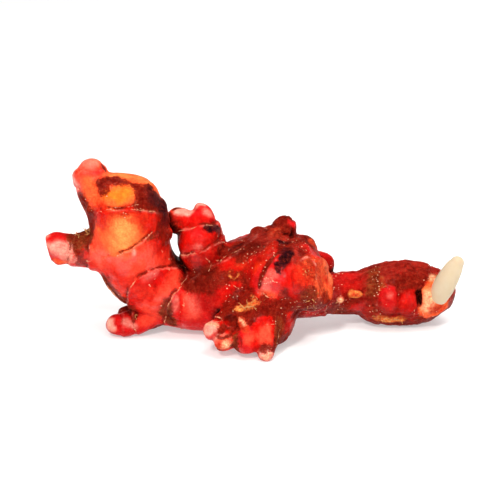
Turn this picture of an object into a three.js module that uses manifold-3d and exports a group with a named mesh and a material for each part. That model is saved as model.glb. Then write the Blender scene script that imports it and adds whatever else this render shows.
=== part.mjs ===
// Ginger root: one rhizome, grown as a single piece, lying on its own knobs.
// Millimetres, +Z up, +X along the root, origin under the middle of its bounding box at the resting plane.
import * as THREE from 'three';
import { mergeVertices } from 'three/addons/utils/BufferGeometryUtils.js';
import Module from 'manifold-3d';

const wasm = await Module();
wasm.setup();

// ---- Driving dimensions, in millimetres ----

const RING_SPACING = 3.2;          // distance between the rings of a finger's surface
const CAP_RINGS = 3;               // rings that round off each end of a finger
const NODE_LIP = 0.55;             // how far a node ring stands out from the finger
const NODE_WAIST = 0.5;            // how far the skin dips just past a node ring
const NODE_SPREAD = 1.3;           // half width of a node ring along the finger
const LUMPINESS = 0.03;            // share of the radius by which a finger departs from round
const REST_PLANE_Z = 0;            // the knobs that touch the surface are worn flat here

// Each finger is a line of knots [x, y, z, radius], and the places of its node rings
// measured along that line from the first knot.
const FINGERS = {
  left_finger: {
    knots: [
      [-12, 5, 12.5, 10.5], [-23.5, 5, 12, 10.5], [-34, 5, 17.5, 12.5], [-42.5, 4, 26.5, 14],
      [-44.5, 2, 39, 13.5], [-45, 1, 46.5, 13.5], [-44.5, 0, 49.5, 11.5],
    ],
    nodes: [12, 25, 35, 47, 59],
    sides: 18,
  },
  left_finger_crown: {
    knots: [[-49.5, 0, 53.5, 8], [-42, 0, 52.5, 8.5]],
    nodes: [],
    sides: 12,
  },
  thumb: {
    knots: [[-51, 0, 47.5, 8], [-55.5, -1, 55, 7.5], [-57.5, -2, 60.5, 6.3], [-57.5, -2, 62.5, 5.3]],
    nodes: [9],
    sides: 14,
  },
  side_stub: {
    knots: [[-52, 2, 34, 9.5], [-59.5, 1, 33, 7], [-65, 0, 33.5, 6], [-68.5, 0, 34, 6], [-70, 0, 34.5, 5.5]],
    nodes: [8],
    sides: 14,
  },
  low_bud: {
    knots: [[-33, 4, 9, 5], [-40, 2, 6, 4.8], [-46.5, 1, 4.2, 4.6], [-50.5, 0, 4.5, 3.7]],
    nodes: [6, 13],
    sides: 12,
  },
  low_bud_behind: {
    knots: [[-41, 8, 6.5, 4], [-47.5, 8, 5.5, 3]],
    nodes: [],
    sides: 8,
  },
  saddle: {
    knots: [[-33, 10, 15, 10.5], [-24, 10, 13.5, 12], [-11, 8, 17, 12.5]],
    nodes: [],
    sides: 16,
  },
  second_finger: {
    knots: [
      [-14.5, 4, 20, 7], [-17.5, 4, 26, 6.2], [-19, 5, 31.5, 8.2], [-19, 8, 35, 8.6],
      [-18.5, 9, 39.5, 7], [-18.3, 10, 43, 4.4], [-19.5, 10, 45.5, 2.4],
    ],
    nodes: [9, 18],
    sides: 16,
  },
  second_finger_nub: {
    knots: [[-20, 10, 38, 4.6], [-26, 11, 41, 4.4], [-27.5, 11, 42.5, 4]],
    nodes: [],
    sides: 8,
  },
  crown: {
    knots: [[-15.5, 6, 15, 13], [-6, 6, 17.5, 16], [4, 6, 22, 15.5], [11, 6, 22.5, 14]],
    nodes: [10],
    sides: 18,
  },
  top_ridge: {
    knots: [[-6, 12, 21, 11], [-1.5, 12, 26.5, 9], [5, 12, 31, 7], [9.5, 12, 34.5, 5.6], [10.8, 12, 37.5, 4.8]],
    nodes: [16],
    sides: 14,
  },
  right_ridge: {
    knots: [[8.5, 12, 24.5, 8.5], [15, 12, 28.5, 6.2], [18.5, 12, 29.5, 5.2]],
    nodes: [6],
    sides: 12,
  },
  bud_behind: {
    knots: [[15, 15, 18, 6.5], [22.5, 17, 20.5, 5.7], [24.8, 17, 21, 5]],
    nodes: [],
    sides: 10,
  },
  right_lobe: {
    knots: [[6, -2, 24.5, 12], [13.5, -4.5, 24.5, 11.5], [20.5, -6, 23, 9.5]],
    nodes: [8],
    sides: 16,
  },
  front_finger: {
    knots: [[5, -2, 18.5, 12], [4.5, -8, 13.5, 11], [6, -10, 9.5, 9]],
    nodes: [7],
    sides: 16,
  },
  front_bud_outer: {
    knots: [[-4, -9, 13, 6], [-10.5, -14, 10, 4.8], [-14.5, -17, 9, 3.8]],
    nodes: [7],
    sides: 10,
  },
  front_bud_low: {
    knots: [[-4, -12, 9.5, 5.5], [-9.5, -18, 6, 3.8], [-11.5, -19.5, 5, 3]],
    nodes: [5],
    sides: 10,
  },
  front_bud_left: {
    knots: [[-1.5, -12, 10.5, 6.5], [-2.5, -18, 7.5, 5.2], [-3, -19, 6.5, 4.8]],
    nodes: [],
    sides: 12,
  },
  front_bud_right: {
    knots: [[3, -11, 9.5, 6.5], [3.5, -17, 7, 5.4], [3.5, -17.5, 6, 5]],
    nodes: [],
    sides: 12,
  },
  front_tip: {
    knots: [[3.5, -17, 5.5, 3.5], [4, -20, 3, 3], [4, -21, 2.5, 2.8]],
    nodes: [],
    sides: 8,
  },
  right_finger: {
    knots: [
      [16.5, 6, 14.5, 9], [25, 10, 12.5, 8], [33.5, 12, 11.8, 8.3], [41, 13, 11.5, 9],
      [47.5, 13, 11.2, 11.3], [55, 13, 11.2, 11.8], [60.5, 13, 11.7, 11.2], [65.5, 12, 13, 8.7],
    ],
    nodes: [12, 22, 31, 48],
    sides: 18,
  },
  shoot: {
    knots: [[67, 7, 14, 3.5], [69.8, 3.5, 21, 4], [72, 1.5, 27, 3.2]],
    nodes: [],
    sides: 12,
  },
  back_stump: {
    knots: [[-1.5, 10, 14, 9.5], [-2, 18, 9.5, 9], [-2, 25, 7.5, 8]],
    nodes: [8],
    sides: 16,
  },
};

// Round swellings [x, y, z, radius x, radius y, radius z]: the two nodules in the torn sheath of the
// right finger, the small knob on the ridge and the low shoulder of the front finger.
const SWELLINGS = [
  [49, 4.5, 13.5, 4.6, 3.6, 4.6],
  [56.5, 3.8, 12, 4.4, 3.6, 5],
  [1, 11, 36, 3, 3, 2.6],
  [10.5, -8.5, 10, 5, 5.5, 6],
];

// Hollows cut into the skin [x, y, z, radius x, radius y, radius z]: the mouth of the torn sheath
// beside the nodules and the dark pocket above the front buds.
const HOLLOWS = [
  [61.5, 0.5, 13.5, 3.2, 4.2, 4.8],
  [53, 1, 16.5, 2.2, 3.5, 2.6],
  [3.5, -16.5, 15.5, 3.6, 4, 2.6],
];

// Flat scars where a neighbouring piece was snapped off: a point on the face and its outward direction.
const SCARS = [
  { point: [26, -6, 24], outward: [0.86, -0.34, 0.38] },
  { point: [-2, 30.5, 7], outward: [0, 1, 0.08] },
  { point: [-73.2, 0, 33.6], outward: [-0.96, -0.1, -0.24] },
];
const SCAR_TOOL_SIZE = 26;         // edge of the block that cuts a scar, well larger than any face

const SKIN_COLOUR = 0xb32a1c;
const SKIN_ROUGHNESS = 0.42;

// ---- Shape helpers ----

function toSolid(geometry) {
  const bare = geometry.clone();
  bare.deleteAttribute('normal');
  bare.deleteAttribute('uv');
  const welded = mergeVertices(bare, 1e-5);
  return new wasm.Manifold(new wasm.Mesh({
    numProp: 3,
    vertProperties: new Float32Array(welded.attributes.position.array),
    triVerts: new Uint32Array(welded.index.array),
  }));
}

function toGeometry(solid) {
  const mesh = solid.getMesh();
  const geometry = new THREE.BufferGeometry();
  geometry.setAttribute('position', new THREE.BufferAttribute(mesh.vertProperties, 3));
  geometry.setIndex(new THREE.BufferAttribute(mesh.triVerts, 1));
  return geometry;
}

// Height of the skin over the plain radius near the node rings: a lip, then a waist past it.
function nodeRelief(distance, nodes) {
  let relief = 0;
  for (const node of nodes) {
    const lip = (distance - node) / NODE_SPREAD;
    const waist = (distance - node - 1.6 * NODE_SPREAD) / NODE_SPREAD;
    relief += NODE_LIP * Math.exp(-lip * lip);
    relief -= NODE_WAIST * Math.exp(-waist * waist);
  }
  return relief;
}

// Stations along a finger: even spacing, with extra ones where a node ring needs them.
function stationsOf(length, nodes) {
  const count = Math.max(2, Math.round(length / RING_SPACING));
  const even = Array.from({ length: count + 1 }, (_, i) => (length * i) / count);
  const extra = nodes.flatMap((node) => [node, node + 1.6 * NODE_SPREAD]);
  const all = [...even, ...extra.filter((s) => s < length - 0.5)].sort((a, b) => a - b);
  return all.filter((s, i) => i === 0 || s === length || s - all[i - 1] > 0.7);
}

// A finger starts as a turned body with rounded ends and is then bent along its own centre line.
function finger({ knots, nodes, sides }) {
  const line = new THREE.CatmullRomCurve3(
    knots.map(([x, y, z]) => new THREE.Vector3(x, y, z)), false, 'centripetal',
  );
  const length = line.getLength();
  const samples = 120;
  const frames = line.computeFrenetFrames(samples, false);

  // Arc length of each knot, so that the radius follows the same line.
  const knotParameter = knots.map((_, i) => i / (knots.length - 1));
  const lengths = line.getLengths(400);
  const knotAt = knotParameter.map((t) => lengths[Math.round(t * 400)]);
  const radiusAt = (s) => {
    let i = 0;
    while (i < knotAt.length - 2 && s > knotAt[i + 1]) i += 1;
    const t = THREE.MathUtils.clamp((s - knotAt[i]) / (knotAt[i + 1] - knotAt[i]), 0, 1);
    const smooth = t * t * (3 - 2 * t);
    return THREE.MathUtils.lerp(knots[i][3], knots[i + 1][3], smooth);
  };

  const profile = [];
  const first = radiusAt(0);
  const last = radiusAt(length);
  for (let i = 0; i < CAP_RINGS; i += 1) {
    const a = (Math.PI / 2) * (i / CAP_RINGS);
    profile.push(new THREE.Vector2(first * Math.sin(a), -first * Math.cos(a)));
  }
  for (const s of stationsOf(length, nodes)) {
    profile.push(new THREE.Vector2(radiusAt(s) + nodeRelief(s, nodes), s));
  }
  for (let i = CAP_RINGS - 1; i >= 0; i -= 1) {
    const a = (Math.PI / 2) * (i / CAP_RINGS);
    profile.push(new THREE.Vector2(last * Math.sin(a), length + last * Math.cos(a)));
  }

  const body = new THREE.LatheGeometry(profile, sides);
  const position = body.attributes.position;
  const point = new THREE.Vector3();
  for (let i = 0; i < position.count; i += 1) {
    point.fromBufferAttribute(position, i);
    const s = THREE.MathUtils.clamp(point.y, 0, length);
    const u = s / length;
    const k = Math.min(samples, Math.round(u * samples));
    const angle = Math.atan2(point.z, point.x);
    const lump = 1 + LUMPINESS * Math.sin(3 * angle + s * 0.21) + LUMPINESS * Math.sin(2 * angle - s * 0.13);
    const centre = line.getPointAt(u);
    centre.addScaledVector(frames.normals[k], point.x * lump);
    centre.addScaledVector(frames.binormals[k], -point.z * lump);
    centre.addScaledVector(frames.tangents[k], point.y - s);
    position.setXYZ(i, centre.x, centre.y, centre.z);
  }
  return toSolid(body);
}

function ellipsoid([x, y, z, rx, ry, rz]) {
  const ball = new THREE.SphereGeometry(1, 12, 8);
  ball.scale(rx, ry, rz);
  ball.translate(x, y, z);
  return toSolid(ball);
}

// A block whose near face lies on the scar, facing back into the root.
function scarTool({ point, outward }) {
  const block = new THREE.BoxGeometry(SCAR_TOOL_SIZE, SCAR_TOOL_SIZE, SCAR_TOOL_SIZE);
  block.translate(0, 0, SCAR_TOOL_SIZE / 2);
  const direction = new THREE.Vector3(...outward).normalize();
  block.applyQuaternion(new THREE.Quaternion().setFromUnitVectors(new THREE.Vector3(0, 0, 1), direction));
  block.translate(...point);
  return toSolid(block);
}

// ---- The rhizome ----

const fingers = Object.values(FINGERS).map(finger);
const swellings = SWELLINGS.map(ellipsoid);
let rhizome = [...fingers, ...swellings].reduce((whole, piece) => whole.add(piece));
for (const hollow of HOLLOWS) {
  rhizome = rhizome.subtract(ellipsoid(hollow));
}
for (const scar of SCARS) {
  rhizome = rhizome.subtract(scarTool(scar));
}

// The lowest knobs are worn flat where the root rests.
const underside = new THREE.BoxGeometry(400, 200, 40);
underside.translate(0, 0, REST_PLANE_Z - 20);
rhizome = rhizome.subtract(toSolid(underside));

const geometry = toGeometry(rhizome);
geometry.computeBoundingBox();
const box = geometry.boundingBox;
geometry.translate(-(box.min.x + box.max.x) / 2, -(box.min.y + box.max.y) / 2, -box.min.z);
geometry.computeVertexNormals();

const root = new THREE.Mesh(geometry, new THREE.MeshStandardMaterial({
  color: SKIN_COLOUR,
  roughness: SKIN_ROUGHNESS,
  metalness: 0,
}));
root.name = 'rhizome';

const group = new THREE.Group();
group.add(root);

export default group;
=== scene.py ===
"""Ginger root: the visual model of one red rhizome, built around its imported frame."""

import math

import bpy
import numpy as np
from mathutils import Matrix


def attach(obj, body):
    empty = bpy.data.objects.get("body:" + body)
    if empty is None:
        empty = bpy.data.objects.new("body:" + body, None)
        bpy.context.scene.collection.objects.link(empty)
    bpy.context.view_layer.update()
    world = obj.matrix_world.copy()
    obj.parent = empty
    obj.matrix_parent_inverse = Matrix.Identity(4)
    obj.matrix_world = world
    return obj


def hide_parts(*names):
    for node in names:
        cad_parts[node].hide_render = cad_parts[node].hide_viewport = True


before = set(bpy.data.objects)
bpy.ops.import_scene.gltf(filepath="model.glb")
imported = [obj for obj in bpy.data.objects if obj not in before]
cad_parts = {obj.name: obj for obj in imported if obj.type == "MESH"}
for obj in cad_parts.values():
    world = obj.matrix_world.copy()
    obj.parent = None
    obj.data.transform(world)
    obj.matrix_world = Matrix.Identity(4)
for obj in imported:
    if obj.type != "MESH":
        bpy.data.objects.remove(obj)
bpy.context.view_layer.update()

import openvdb
from mathutils import Vector

bl_info = {
    "name": "Ginger root",
    "version": (1, 0, 0),
    "blender": (4, 2, 0),
    "location": "View3D > Sidebar > Ginger",
    "description": "Grows a red ginger root with its skin, scales, fibres and young shoot",
    "category": "Object",
}

# The CAD model's node, which the skin replaces and hides.
NODE = "rhizome"

MM = 0.001

# The fingers are given in millimetres in a growth frame. The part frame has its origin under the middle of
# the bounding box, and this is the step from one to the other.
GROWTH_TO_PART = np.array([-0.39, -3.54, 0.0])


# ---------------------------------------------------------------------------------------------------------
# Growth: where the fingers run
# ---------------------------------------------------------------------------------------------------------

# Every finger is a line of knots (x, y, z, radius) and how softly it grows into the others, in millimetres.
FINGERS = {
    "left_finger": (2, [(-12, 5, 12.5, 10.5), (-23.5, 5, 12, 10.5), (-34, 5, 17.7, 12.1),
                        (-42.2, 4, 26.7, 13.6), (-44.5, 2, 39, 13.5), (-45, 1, 46.5, 13.4),
                        (-44.7, 0, 49.3, 11.3)]),
    "left_crown": (2, [(-49.5, 0, 53.4, 8), (-42.6, 0, 52.4, 7.9)]),
    "thumb": (1.6, [(-51, 0, 47.5, 7.8), (-55.2, -1, 55, 7.2), (-57, -2, 60.5, 6.1), (-56.8, -2, 62.7, 5.2)]),
    "side_stub": (1.8, [(-52, 2, 34, 9.5), (-59.5, 1, 33, 7), (-65, 0, 33.5, 6), (-68.5, 0, 34, 6),
                        (-70.6, 0, 34.6, 5.6)]),
    "low_bud": (1.2, [(-33, 4, 9, 5), (-40, 2, 6.2, 4.7), (-46.5, 1, 4.5, 4.4), (-50.2, 0, 4.8, 3.6)]),
    "low_bud_behind": (1, [(-41, 8, 6.5, 4), (-47.5, 8, 5.5, 3)]),
    "saddle": (2, [(-33, 10, 15, 10.5), (-24, 10, 13.5, 12), (-11, 8, 17, 12.5)]),
    "second_finger": (1, [(-14.5, 4, 20, 7), (-17.5, 4, 26, 6.2), (-19, 5, 31.5, 8), (-19.2, 8, 35, 8.2),
                            (-19, 9, 39.5, 6.5), (-18.6, 10, 43, 4.2), (-19.5, 10, 45.5, 2.4)]),
    "second_nub": (0.7, [(-20, 10, 37.5, 4.8), (-25.5, 10, 40.4, 4.7), (-27.6, 9.6, 41, 4.5)]),
    "crown": (2.4, [(-15.5, 6, 15, 13), (-6, 6, 17.5, 16), (4, 6, 22, 15.5), (11, 6, 22.5, 14)]),
    "top_ridge": (1.8, [(-6, 12, 21, 11), (-1.5, 12, 25.8, 8.4), (5, 12, 30.5, 6.5), (9.5, 12, 34.5, 5.6),
                        (10.8, 12, 37.5, 4.8)]),
    "right_ridge": (1.2, [(8.5, 12, 24.5, 8.5), (14.8, 12, 28.5, 5.8), (17.8, 12, 29.5, 4.9)]),
    "bud_behind": (1, [(15, 15, 18, 6.5), (22.5, 17, 20.5, 5.7), (24.8, 17, 21, 5)]),
    "right_lobe": (1.8, [(6, -2, 24.5, 12), (13.5, -4.5, 24.5, 11.5), (20.5, -6, 23, 9.5)]),
    "front_finger": (1.8, [(5, -2, 18.5, 12), (4.5, -8, 13.5, 10.6), (5.4, -10, 9.5, 8.2)]),
    "front_bud_outer": (2.2, [(-4, -9, 13, 6), (-10.5, -14, 10, 4.5), (-14.8, -17, 9.4, 3.3)]),
    "front_bud_low": (0.8, [(-4, -12, 9.5, 5.5), (-9.3, -17.6, 6.4, 3.7), (-11.3, -19, 5.6, 2.9)]),
    "front_bud_left": (1.4, [(-1.5, -12, 10.5, 6.5), (-2.5, -18, 7.5, 5.2), (-3, -19, 6.5, 4.8)]),
    "front_bud_right": (1.4, [(3, -11, 9.5, 6.5), (3.5, -17, 7, 5.4), (3.5, -17.5, 6, 5)]),
    "front_tip": (0.5, [(3.5, -17, 5.5, 3.5), (4, -20, 3, 3), (4, -21, 2.5, 2.8)]),
    "right_finger": (1.8, [(16.5, 6, 14.5, 9), (25, 10, 12.5, 8), (33.5, 12, 12.1, 8.1), (41, 13, 12, 8.5),
                           (47.5, 13, 11.8, 11.3), (55, 13, 11.6, 11.9), (60.5, 13, 11.7, 11.2),
                           (65.5, 12, 13, 8.7)]),
    "back_stump": (1.6, [(-1.5, 10, 14, 9.5), (-2, 18, 9.5, 9), (-2, 25, 7.5, 8)]),
}

# Node rings, where a scale leaf once clasped the finger: the finger, a point on the ring, the direction
# towards the tip, how much the ring bows across, and how high its lip stands.
RINGS = {
    "left_top": ("left_finger", (-45, 0, 50), (0, 0.2, 1), 0.010, 0.7),
    "left_high": ("left_finger", (-44, 0, 37.3), (-0.48, 0, 0.89), -0.006, 0.42),
    "left_mid": ("left_finger", (-39.8, 0, 27.6), (-0.5, 0, 0.87), 0.065, 0.8),
    "left_low": ("left_finger", (-27.5, 0, 20.5), (-0.8, 0, 0.6), 0.02, 0.7),
    "thumb_tip": ("thumb", (-57.5, -2, 64.6), (-0.15, 0, 1), 0.03, 0.25),
    "stub_neck": ("side_stub", (-65, 0, 33.5), (-1, 0, 0.2), 0, 0.4),
    "stub_base": ("side_stub", (-58.5, 0, 33.5), (-1, 0, 0.1), 0, 0.5),
    "low_bud_band": ("low_bud", (-43.8, 1, 5), (-1, -0.1, -0.2), 0, 0.4),
    "low_bud_tip": ("low_bud", (-48.3, 1, 4.5), (-1, -0.1, 0), 0, 0.25),
    "second_low": ("second_finger", (-18, 5, 33.6), (-0.35, 0.1, 0.94), 0, 0.5),
    "second_high": ("second_finger", (-18.5, 9, 41.2), (-0.05, 0.05, 1), 0.03, 0.6),
    "crown_left": ("crown", (-8.5, 0, 32), (-0.55, 0.1, 0.83), 0, 0.4),
    "ridge_bud": ("top_ridge", (10, 12, 36), (0.3, 0, 1), 0, 0.5),
    "right_base": ("right_finger", (26, 10, 12.5), (1, 0.1, 0), 0, 0.45),
    "right_bark": ("right_finger", (44.5, 13, 11.5), (1, 0, 0), -0.02, 0.3),
    "front_outer": ("front_bud_outer", (-11.8, -15, 9.8), (-0.75, -0.6, -0.2), 0, 0.45),
    "front_low": ("front_bud_low", (-8.3, -16.5, 7), (-0.7, -0.7, -0.35), 0, 0.4),
    "lobe_break": ("right_lobe", (23.5, -9, 25.4), (0.92, -0.30, 0.25), 0, 0),
    "stump_ring": ("back_stump", (-2, 20, 9), (0, 1, -0.2), 0, 0.5),
    "back_left": ("saddle", (-22, 12, 14), (-1, 0.2, 0.2), 0, 0.5),
}

# Rings that fade out on one side: the direction, and how far along it they reach.
RING_ENDS = {
    "left_high": ((1, 0, 0), -36.5),
    "left_mid": ((1, 0, 0), -27),
    "crown_left": ((1, 0, 0), 1),
    "right_bark": ((0, 0, 1), 14),
}

# Round swellings (centre, radii): the skin flap on the neck and the two nodules in the torn sheath, and small
# knobs on the skin.
NODULES = [
    ((36.9, 4, 14.8), (2.9, 1, 1.5)),
    ((48.7, 3.5, 12.9), (4.7, 3.6, 5.9)),
    ((55.4, 3.1, 12.2), (4, 3.5, 5.3)),
]
KNOBS = [
    ((1, 11, 36), (3, 3, 2.6)),
    ((9, -9, 11), (4.2, 5, 5.6)),
    ((-52.6, -6.2, 57.6), (2, 1.5, 1.6)),
    ((-33.2, 1, 45), (3.1, 3.6, 7.5)),
    ((-31.8, 1, 39.2), (2.7, 3, 3.2)),
    ((31.2, 3.4, 12.6), (1.5, 1.3, 1.3)),
    ((-55.2, -7.6, 53.6), (1.5, 1.2, 1.4)),
    ((-57.6, -6.6, 51), (1.4, 1.2, 1.5)),
    ((-73.2, -1.4, 38.6), (1.4, 1.6, 1.5)),
    ((-69.4, -2.6, 29.8), (2, 1.8, 1.3)),
    ((-12.4, -19.6, 7.4), (2.4, 1.8, 1.6)),
    ((-5.6, -17, 12.6), (1.2, 2.4, 1.5)),
]

# Hollows (centre, radii) cut into the skin.
HOLLOWS = [
    ((59.4, 1.4, 13.8), (1.5, 3.4, 3.6)),
    ((53.4, 0.5, 12.9), (8.4, 2, 5.8)),
    ((66.4, 1.2, 15.2), (4, 2.4, 4.2)),
    ((4.4, -15.4, 15.2), (2.6, 1.2, 0.9)),
    ((10.2, -11.8, 34.4), (3.2, 2, 2.2)),
    ((-8.6, -17.4, 13.2), (2.6, 2.6, 1.6)),
    ((-5.8, -22.6, 7.4), (1.2, 1.6, 2.6)),
]

# Grooves cut along a line, with their radius.
GROOVES = [
    (0.75, [(10.2, 0.6, 37.2), (8.3, -7.7, 36), (4.9, -10.9, 33.4), (2.8, -13, 29.4), (1.2, -13.9, 24.8)]),
    (0.5, [(-26.5, -6, 18.6), (-26.3, -6.5, 14.6), (-26.4, -6.1, 10.6), (-27, -3, 5.5)]),
    (0.35, [(0.8, -19.4, 13.4), (0.3, -21.8, 9.8), (0.1, -22.8, 6)]),
    (0.6, [(9.8, -12.2, 33.4), (11.7, -14.5, 30.5), (12.7, -16.3, 25.8), (11.4, -16.6, 20.5)]),
    (0.8, [(0.8, -14, 23.6), (5, -15.6, 21.4), (9.4, -16.6, 20.4)]),
    (1, [(-22, -1.4, 26), (-17, -4, 26), (-13.4, -3, 30), (-11.6, 0.8, 35.6)]),
    (0.6, [(-9.6, 1, 33.6), (-4.4, 2.2, 35.4), (0.2, 3, 36.8)]),
    (0.6, [(8.6, -18.2, 13), (7.6, -19.6, 9), (7, -21.2, 6)]),
    (0.9, [(-31.6, -6.6, 14.6), (-31.6, -5.6, 10.6), (-30.4, -3.6, 6)]),
]

# Scars left where a neighbouring piece snapped off: a point on the face, its outward direction and the reach
# of the break around that point.
SCARS = [
    ((24.2, -9, 25.6), (0.92, -0.30, 0.25), 12.5),
    ((-2, 30.5, 7), (0, 1, 0.08), 13),
    ((-74, 0, 33.6), (-0.96, -0.1, -0.24), 10),
]

# Flaps: patches of torn skin standing proud of a finger (centre, radii, height).
FLAPS = [
    ((66, 3.2, 13), (5.6, 6, 7.6), 0.75),
    ((51.5, 8, 21), (7.5, 8.5, 5), 0.45),
    ((58.5, 11, 22.5), (6.5, 8, 4), 0.8),
    ((-8.5, -18.5, 9.5), (3, 2.5, 2), 0.45),
    ((6, -17.8, 12.8), (2.4, 2.6, 2.4), 0.4),
    ((16, -13, 17.6), (5, 4, 2.4), 0.4),
    ((-53, -6.5, 60), (5.4, 4.5, 3), 0.5),
    ((-62.4, -4.6, 61.6), (1.7, 3.4, 3.4), 0.5),
    ((-36, -4.5, 55.5), (5, 6, 4.6), 0.35),
    ((-10, 6.5, 44), (2, 2, 2), 0.4),
    ((-13.8, 3.4, 40.2), (3, 3, 2.6), 0.45),
    ((5, -13.6, 27), (4.4, 3.5, 5), 0.5),
    ((15.2, -14.6, 28), (2.6, 4, 6), 0.4),
    ((-28, -5.5, 15.5), (3.2, 3, 3), 0.25),
]

# Eyes: raised rims round the scars of fallen roots (centre, outward direction, radius).
EYES = [
    ((-7.4, -7, 26.9), (-0.2, -0.85, 0.5), 1.7),
    ((-1.2, -7.4, 32), (0.1, -0.7, 0.7), 0.9),
    ((31.2, 3, 12.6), (0, -0.95, 0.2), 1.5),
    ((-38, 17.4, 26), (0.1, 0.9, 0.1), 1.6),
    ((-8, 20, 25), (-0.2, 0.8, 0.5), 1.7),
    ((52, 24, 14), (0, 0.95, 0.2), 1.5),
]

# Folds of the dry sheath that drape over the crown: ridges along a line, with their radius.
FOLDS = [
    (1.3, [(-9.5, 1.5, 32), (-5.5, 1.2, 34), (0, 2.6, 36), (4.8, 5, 37), (9, 8, 37.6)]),
    (2, [(0.2, -10.8, 26.5), (2.2, -9.4, 31), (4.6, -7.2, 33.8), (7, -2.6, 35.6), (8.6, 2.6, 36)]),
    (1.3, [(13.2, -11.6, 31.8), (14.2, -7, 34.6), (13.5, -1, 35.4), (12, 5, 35.6)]),
    (1.5, [(19.5, -8.5, 32.6), (19.6, -3.6, 33.4), (17.5, 2.5, 34.6), (14.5, 6.5, 35.2)]),
    (1, [(-12.6, -3.4, 29.4), (-9, -2, 31.8), (-4.6, -2.6, 33)]),
    (1, [(5, 8.4, 38.2), (9, 7.2, 38.6), (14, 7, 37)]),
]

# Painted glints: where pale flakes lie thicker on wet skin, standing in for its highlights: a middle, a radius
# and how much that adds.
GLINT_FLECK_SPOTS = [
    ((4.6, -14, 27), 5, 0.4),
    ((33, 4.6, 14), 6, 0.35),
    ((4.8, -14, 27), 5, 2.6),
    ((-27.5, -6, 14), 4, 1.6),
    ((-37, -9, 26), 4, 0.8),
    ((31, 3, 12), 5, 1.6),
    ((44.5, 5, 17), 5, 1.6),
    ((-9, -7, 21), 8, 1),
    ((18, -14, 20), 7, 1.2),
    ((-45, -9.6, 51), 4, 1.2),
]

# The corners of the grid that the skin is drawn from.
GRID_LOW = np.array([-79.0, -29.0, -1.5])
GRID_HIGH = np.array([78.0, 34.5, 71.0])


def unit(vector):
    """The same direction with a length of 1."""
    return np.array(vector, float) / np.linalg.norm(vector)


def catmull_rom(knots, per_span=6):
    """Even samples on a smooth line through the knots."""
    k = np.asarray(knots, float)
    if len(k) == 2:
        t = np.linspace(0, 1, per_span + 1)[:, None]
        return k[0] * (1 - t) + k[1] * t
    padded = np.vstack([2 * k[0] - k[1], k, 2 * k[-1] - k[-2]])
    out = []
    for i in range(1, len(padded) - 2):
        a, b, c, d = padded[i - 1 : i + 3]
        for t in np.arange(per_span) / per_span:
            bend = (2 * a - 5 * b + 4 * c - d) * t**2 + (3 * b - a - 3 * c + d) * t**3
            out.append(0.5 * (2 * b + (c - a) * t + bend))
    out.append(k[-1])
    return np.array(out)


def swelling_line(path, radius, end):
    """A tapered line through the points, thickest in the middle; end is the turn at which it starts."""
    line = catmull_rom([(*point, radius) for point in path])
    line[:, 3] *= np.sin(np.linspace(end, math.pi - end, len(line)))
    return line


def line_distance(points, line):
    """Distance from each point to a tapered line (x, y, z, radius), less the radius there."""
    best = np.full(len(points), 1e6, np.float32)
    for a, b in zip(line[:-1].astype(np.float32), line[1:].astype(np.float32)):
        along = b[:3] - a[:3]
        t = np.clip(((points - a[:3]) @ along) / max(float(along @ along), 1e-9), 0, 1)
        gap = points - a[:3] - t[:, None] * along
        np.minimum(best, np.sqrt((gap * gap).sum(1)) - (a[3] + t * (b[3] - a[3])), out=best)
    return best


def ball_distance(points, centre, radii):
    """Close to the distance from an ellipsoid's surface."""
    radii = np.asarray(radii, np.float32)
    q = (points - np.asarray(centre, np.float32)) / radii
    length = np.sqrt((q * q).sum(1))
    steep = np.sqrt(((q / radii) ** 2).sum(1))
    return length * (length - 1) / np.maximum(steep, 1e-6)


def ring_distance(points, centre, normal, radius):
    """Distance from a circle."""
    away = points - np.array(centre)
    height = away @ normal
    spread = np.sqrt(np.maximum((away * away).sum(1) - height * height, 0))
    return np.hypot(spread - radius, height)


def soft_min(a, b, k):
    """The smaller of two distances, rounded over a width k where they meet."""
    h = np.clip(0.5 + 0.5 * (b - a) / k, 0, 1)
    return b + (a - b) * h - k * h * (1 - h)


def smoothstep(low, high, x):
    """A soft step from 0 to 1."""
    t = np.clip((x - low) / (high - low), 0, 1)
    return t * t * (3 - 2 * t)


# Random numbers at the corners of a block of cubes, which all the noise is read from.
LATTICE_SIDE = 64
LATTICE = np.random.default_rng(7).uniform(-1, 1, (LATTICE_SIDE,) * 3).astype(np.float32).ravel()


def noise(points, size, seed=0):
    """Smooth noise from -1 to 1 whose lumps are about size millimetres across."""
    q = np.asarray(points, np.float32) / np.float32(size) + np.float32(5.37 * seed)
    whole = np.floor(q)
    f = q - whole
    f = f * f * (3 - 2 * f)
    near = whole.astype(np.int32) & (LATTICE_SIDE - 1)
    far = (near + 1) & (LATTICE_SIDE - 1)
    rows = [side[:, 0] * LATTICE_SIDE for side in (near, far)]
    total = 0
    for row, share_x in zip(rows, (1 - f[:, 0], f[:, 0])):
        for column, share_y in ((near[:, 1], 1 - f[:, 1]), (far[:, 1], f[:, 1])):
            start = (row + column) * LATTICE_SIDE
            deep = LATTICE[start + near[:, 2]] * (1 - f[:, 2]) + LATTICE[start + far[:, 2]] * f[:, 2]
            total = total + share_x * share_y * deep
    return total


def rough(points, size, octaves=3, seed=0):
    """Noise with finer and finer lumps added."""
    total, scale = 0, 1.0
    for n in range(octaves):
        total = total + scale * noise(points, size / 2**n, seed + n)
        scale *= 0.5
    return total


def ring_offset(points, ring, wobble=1.0):
    """Signed distance past a node ring, towards the finger's tip."""
    _, place, towards, bow, _ = RINGS[ring]
    n = unit(towards)
    across = np.cross(n, (0, 1, 0))
    q = points - np.array(place, np.float32)
    offset = q @ n.astype(np.float32) + bow * (q @ across.astype(np.float32)) ** 2
    if wobble:
        offset = offset + wobble * (0.55 * noise(points, 6, 31) + 0.42 * noise(points, 2.3, 32))
    return offset


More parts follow.
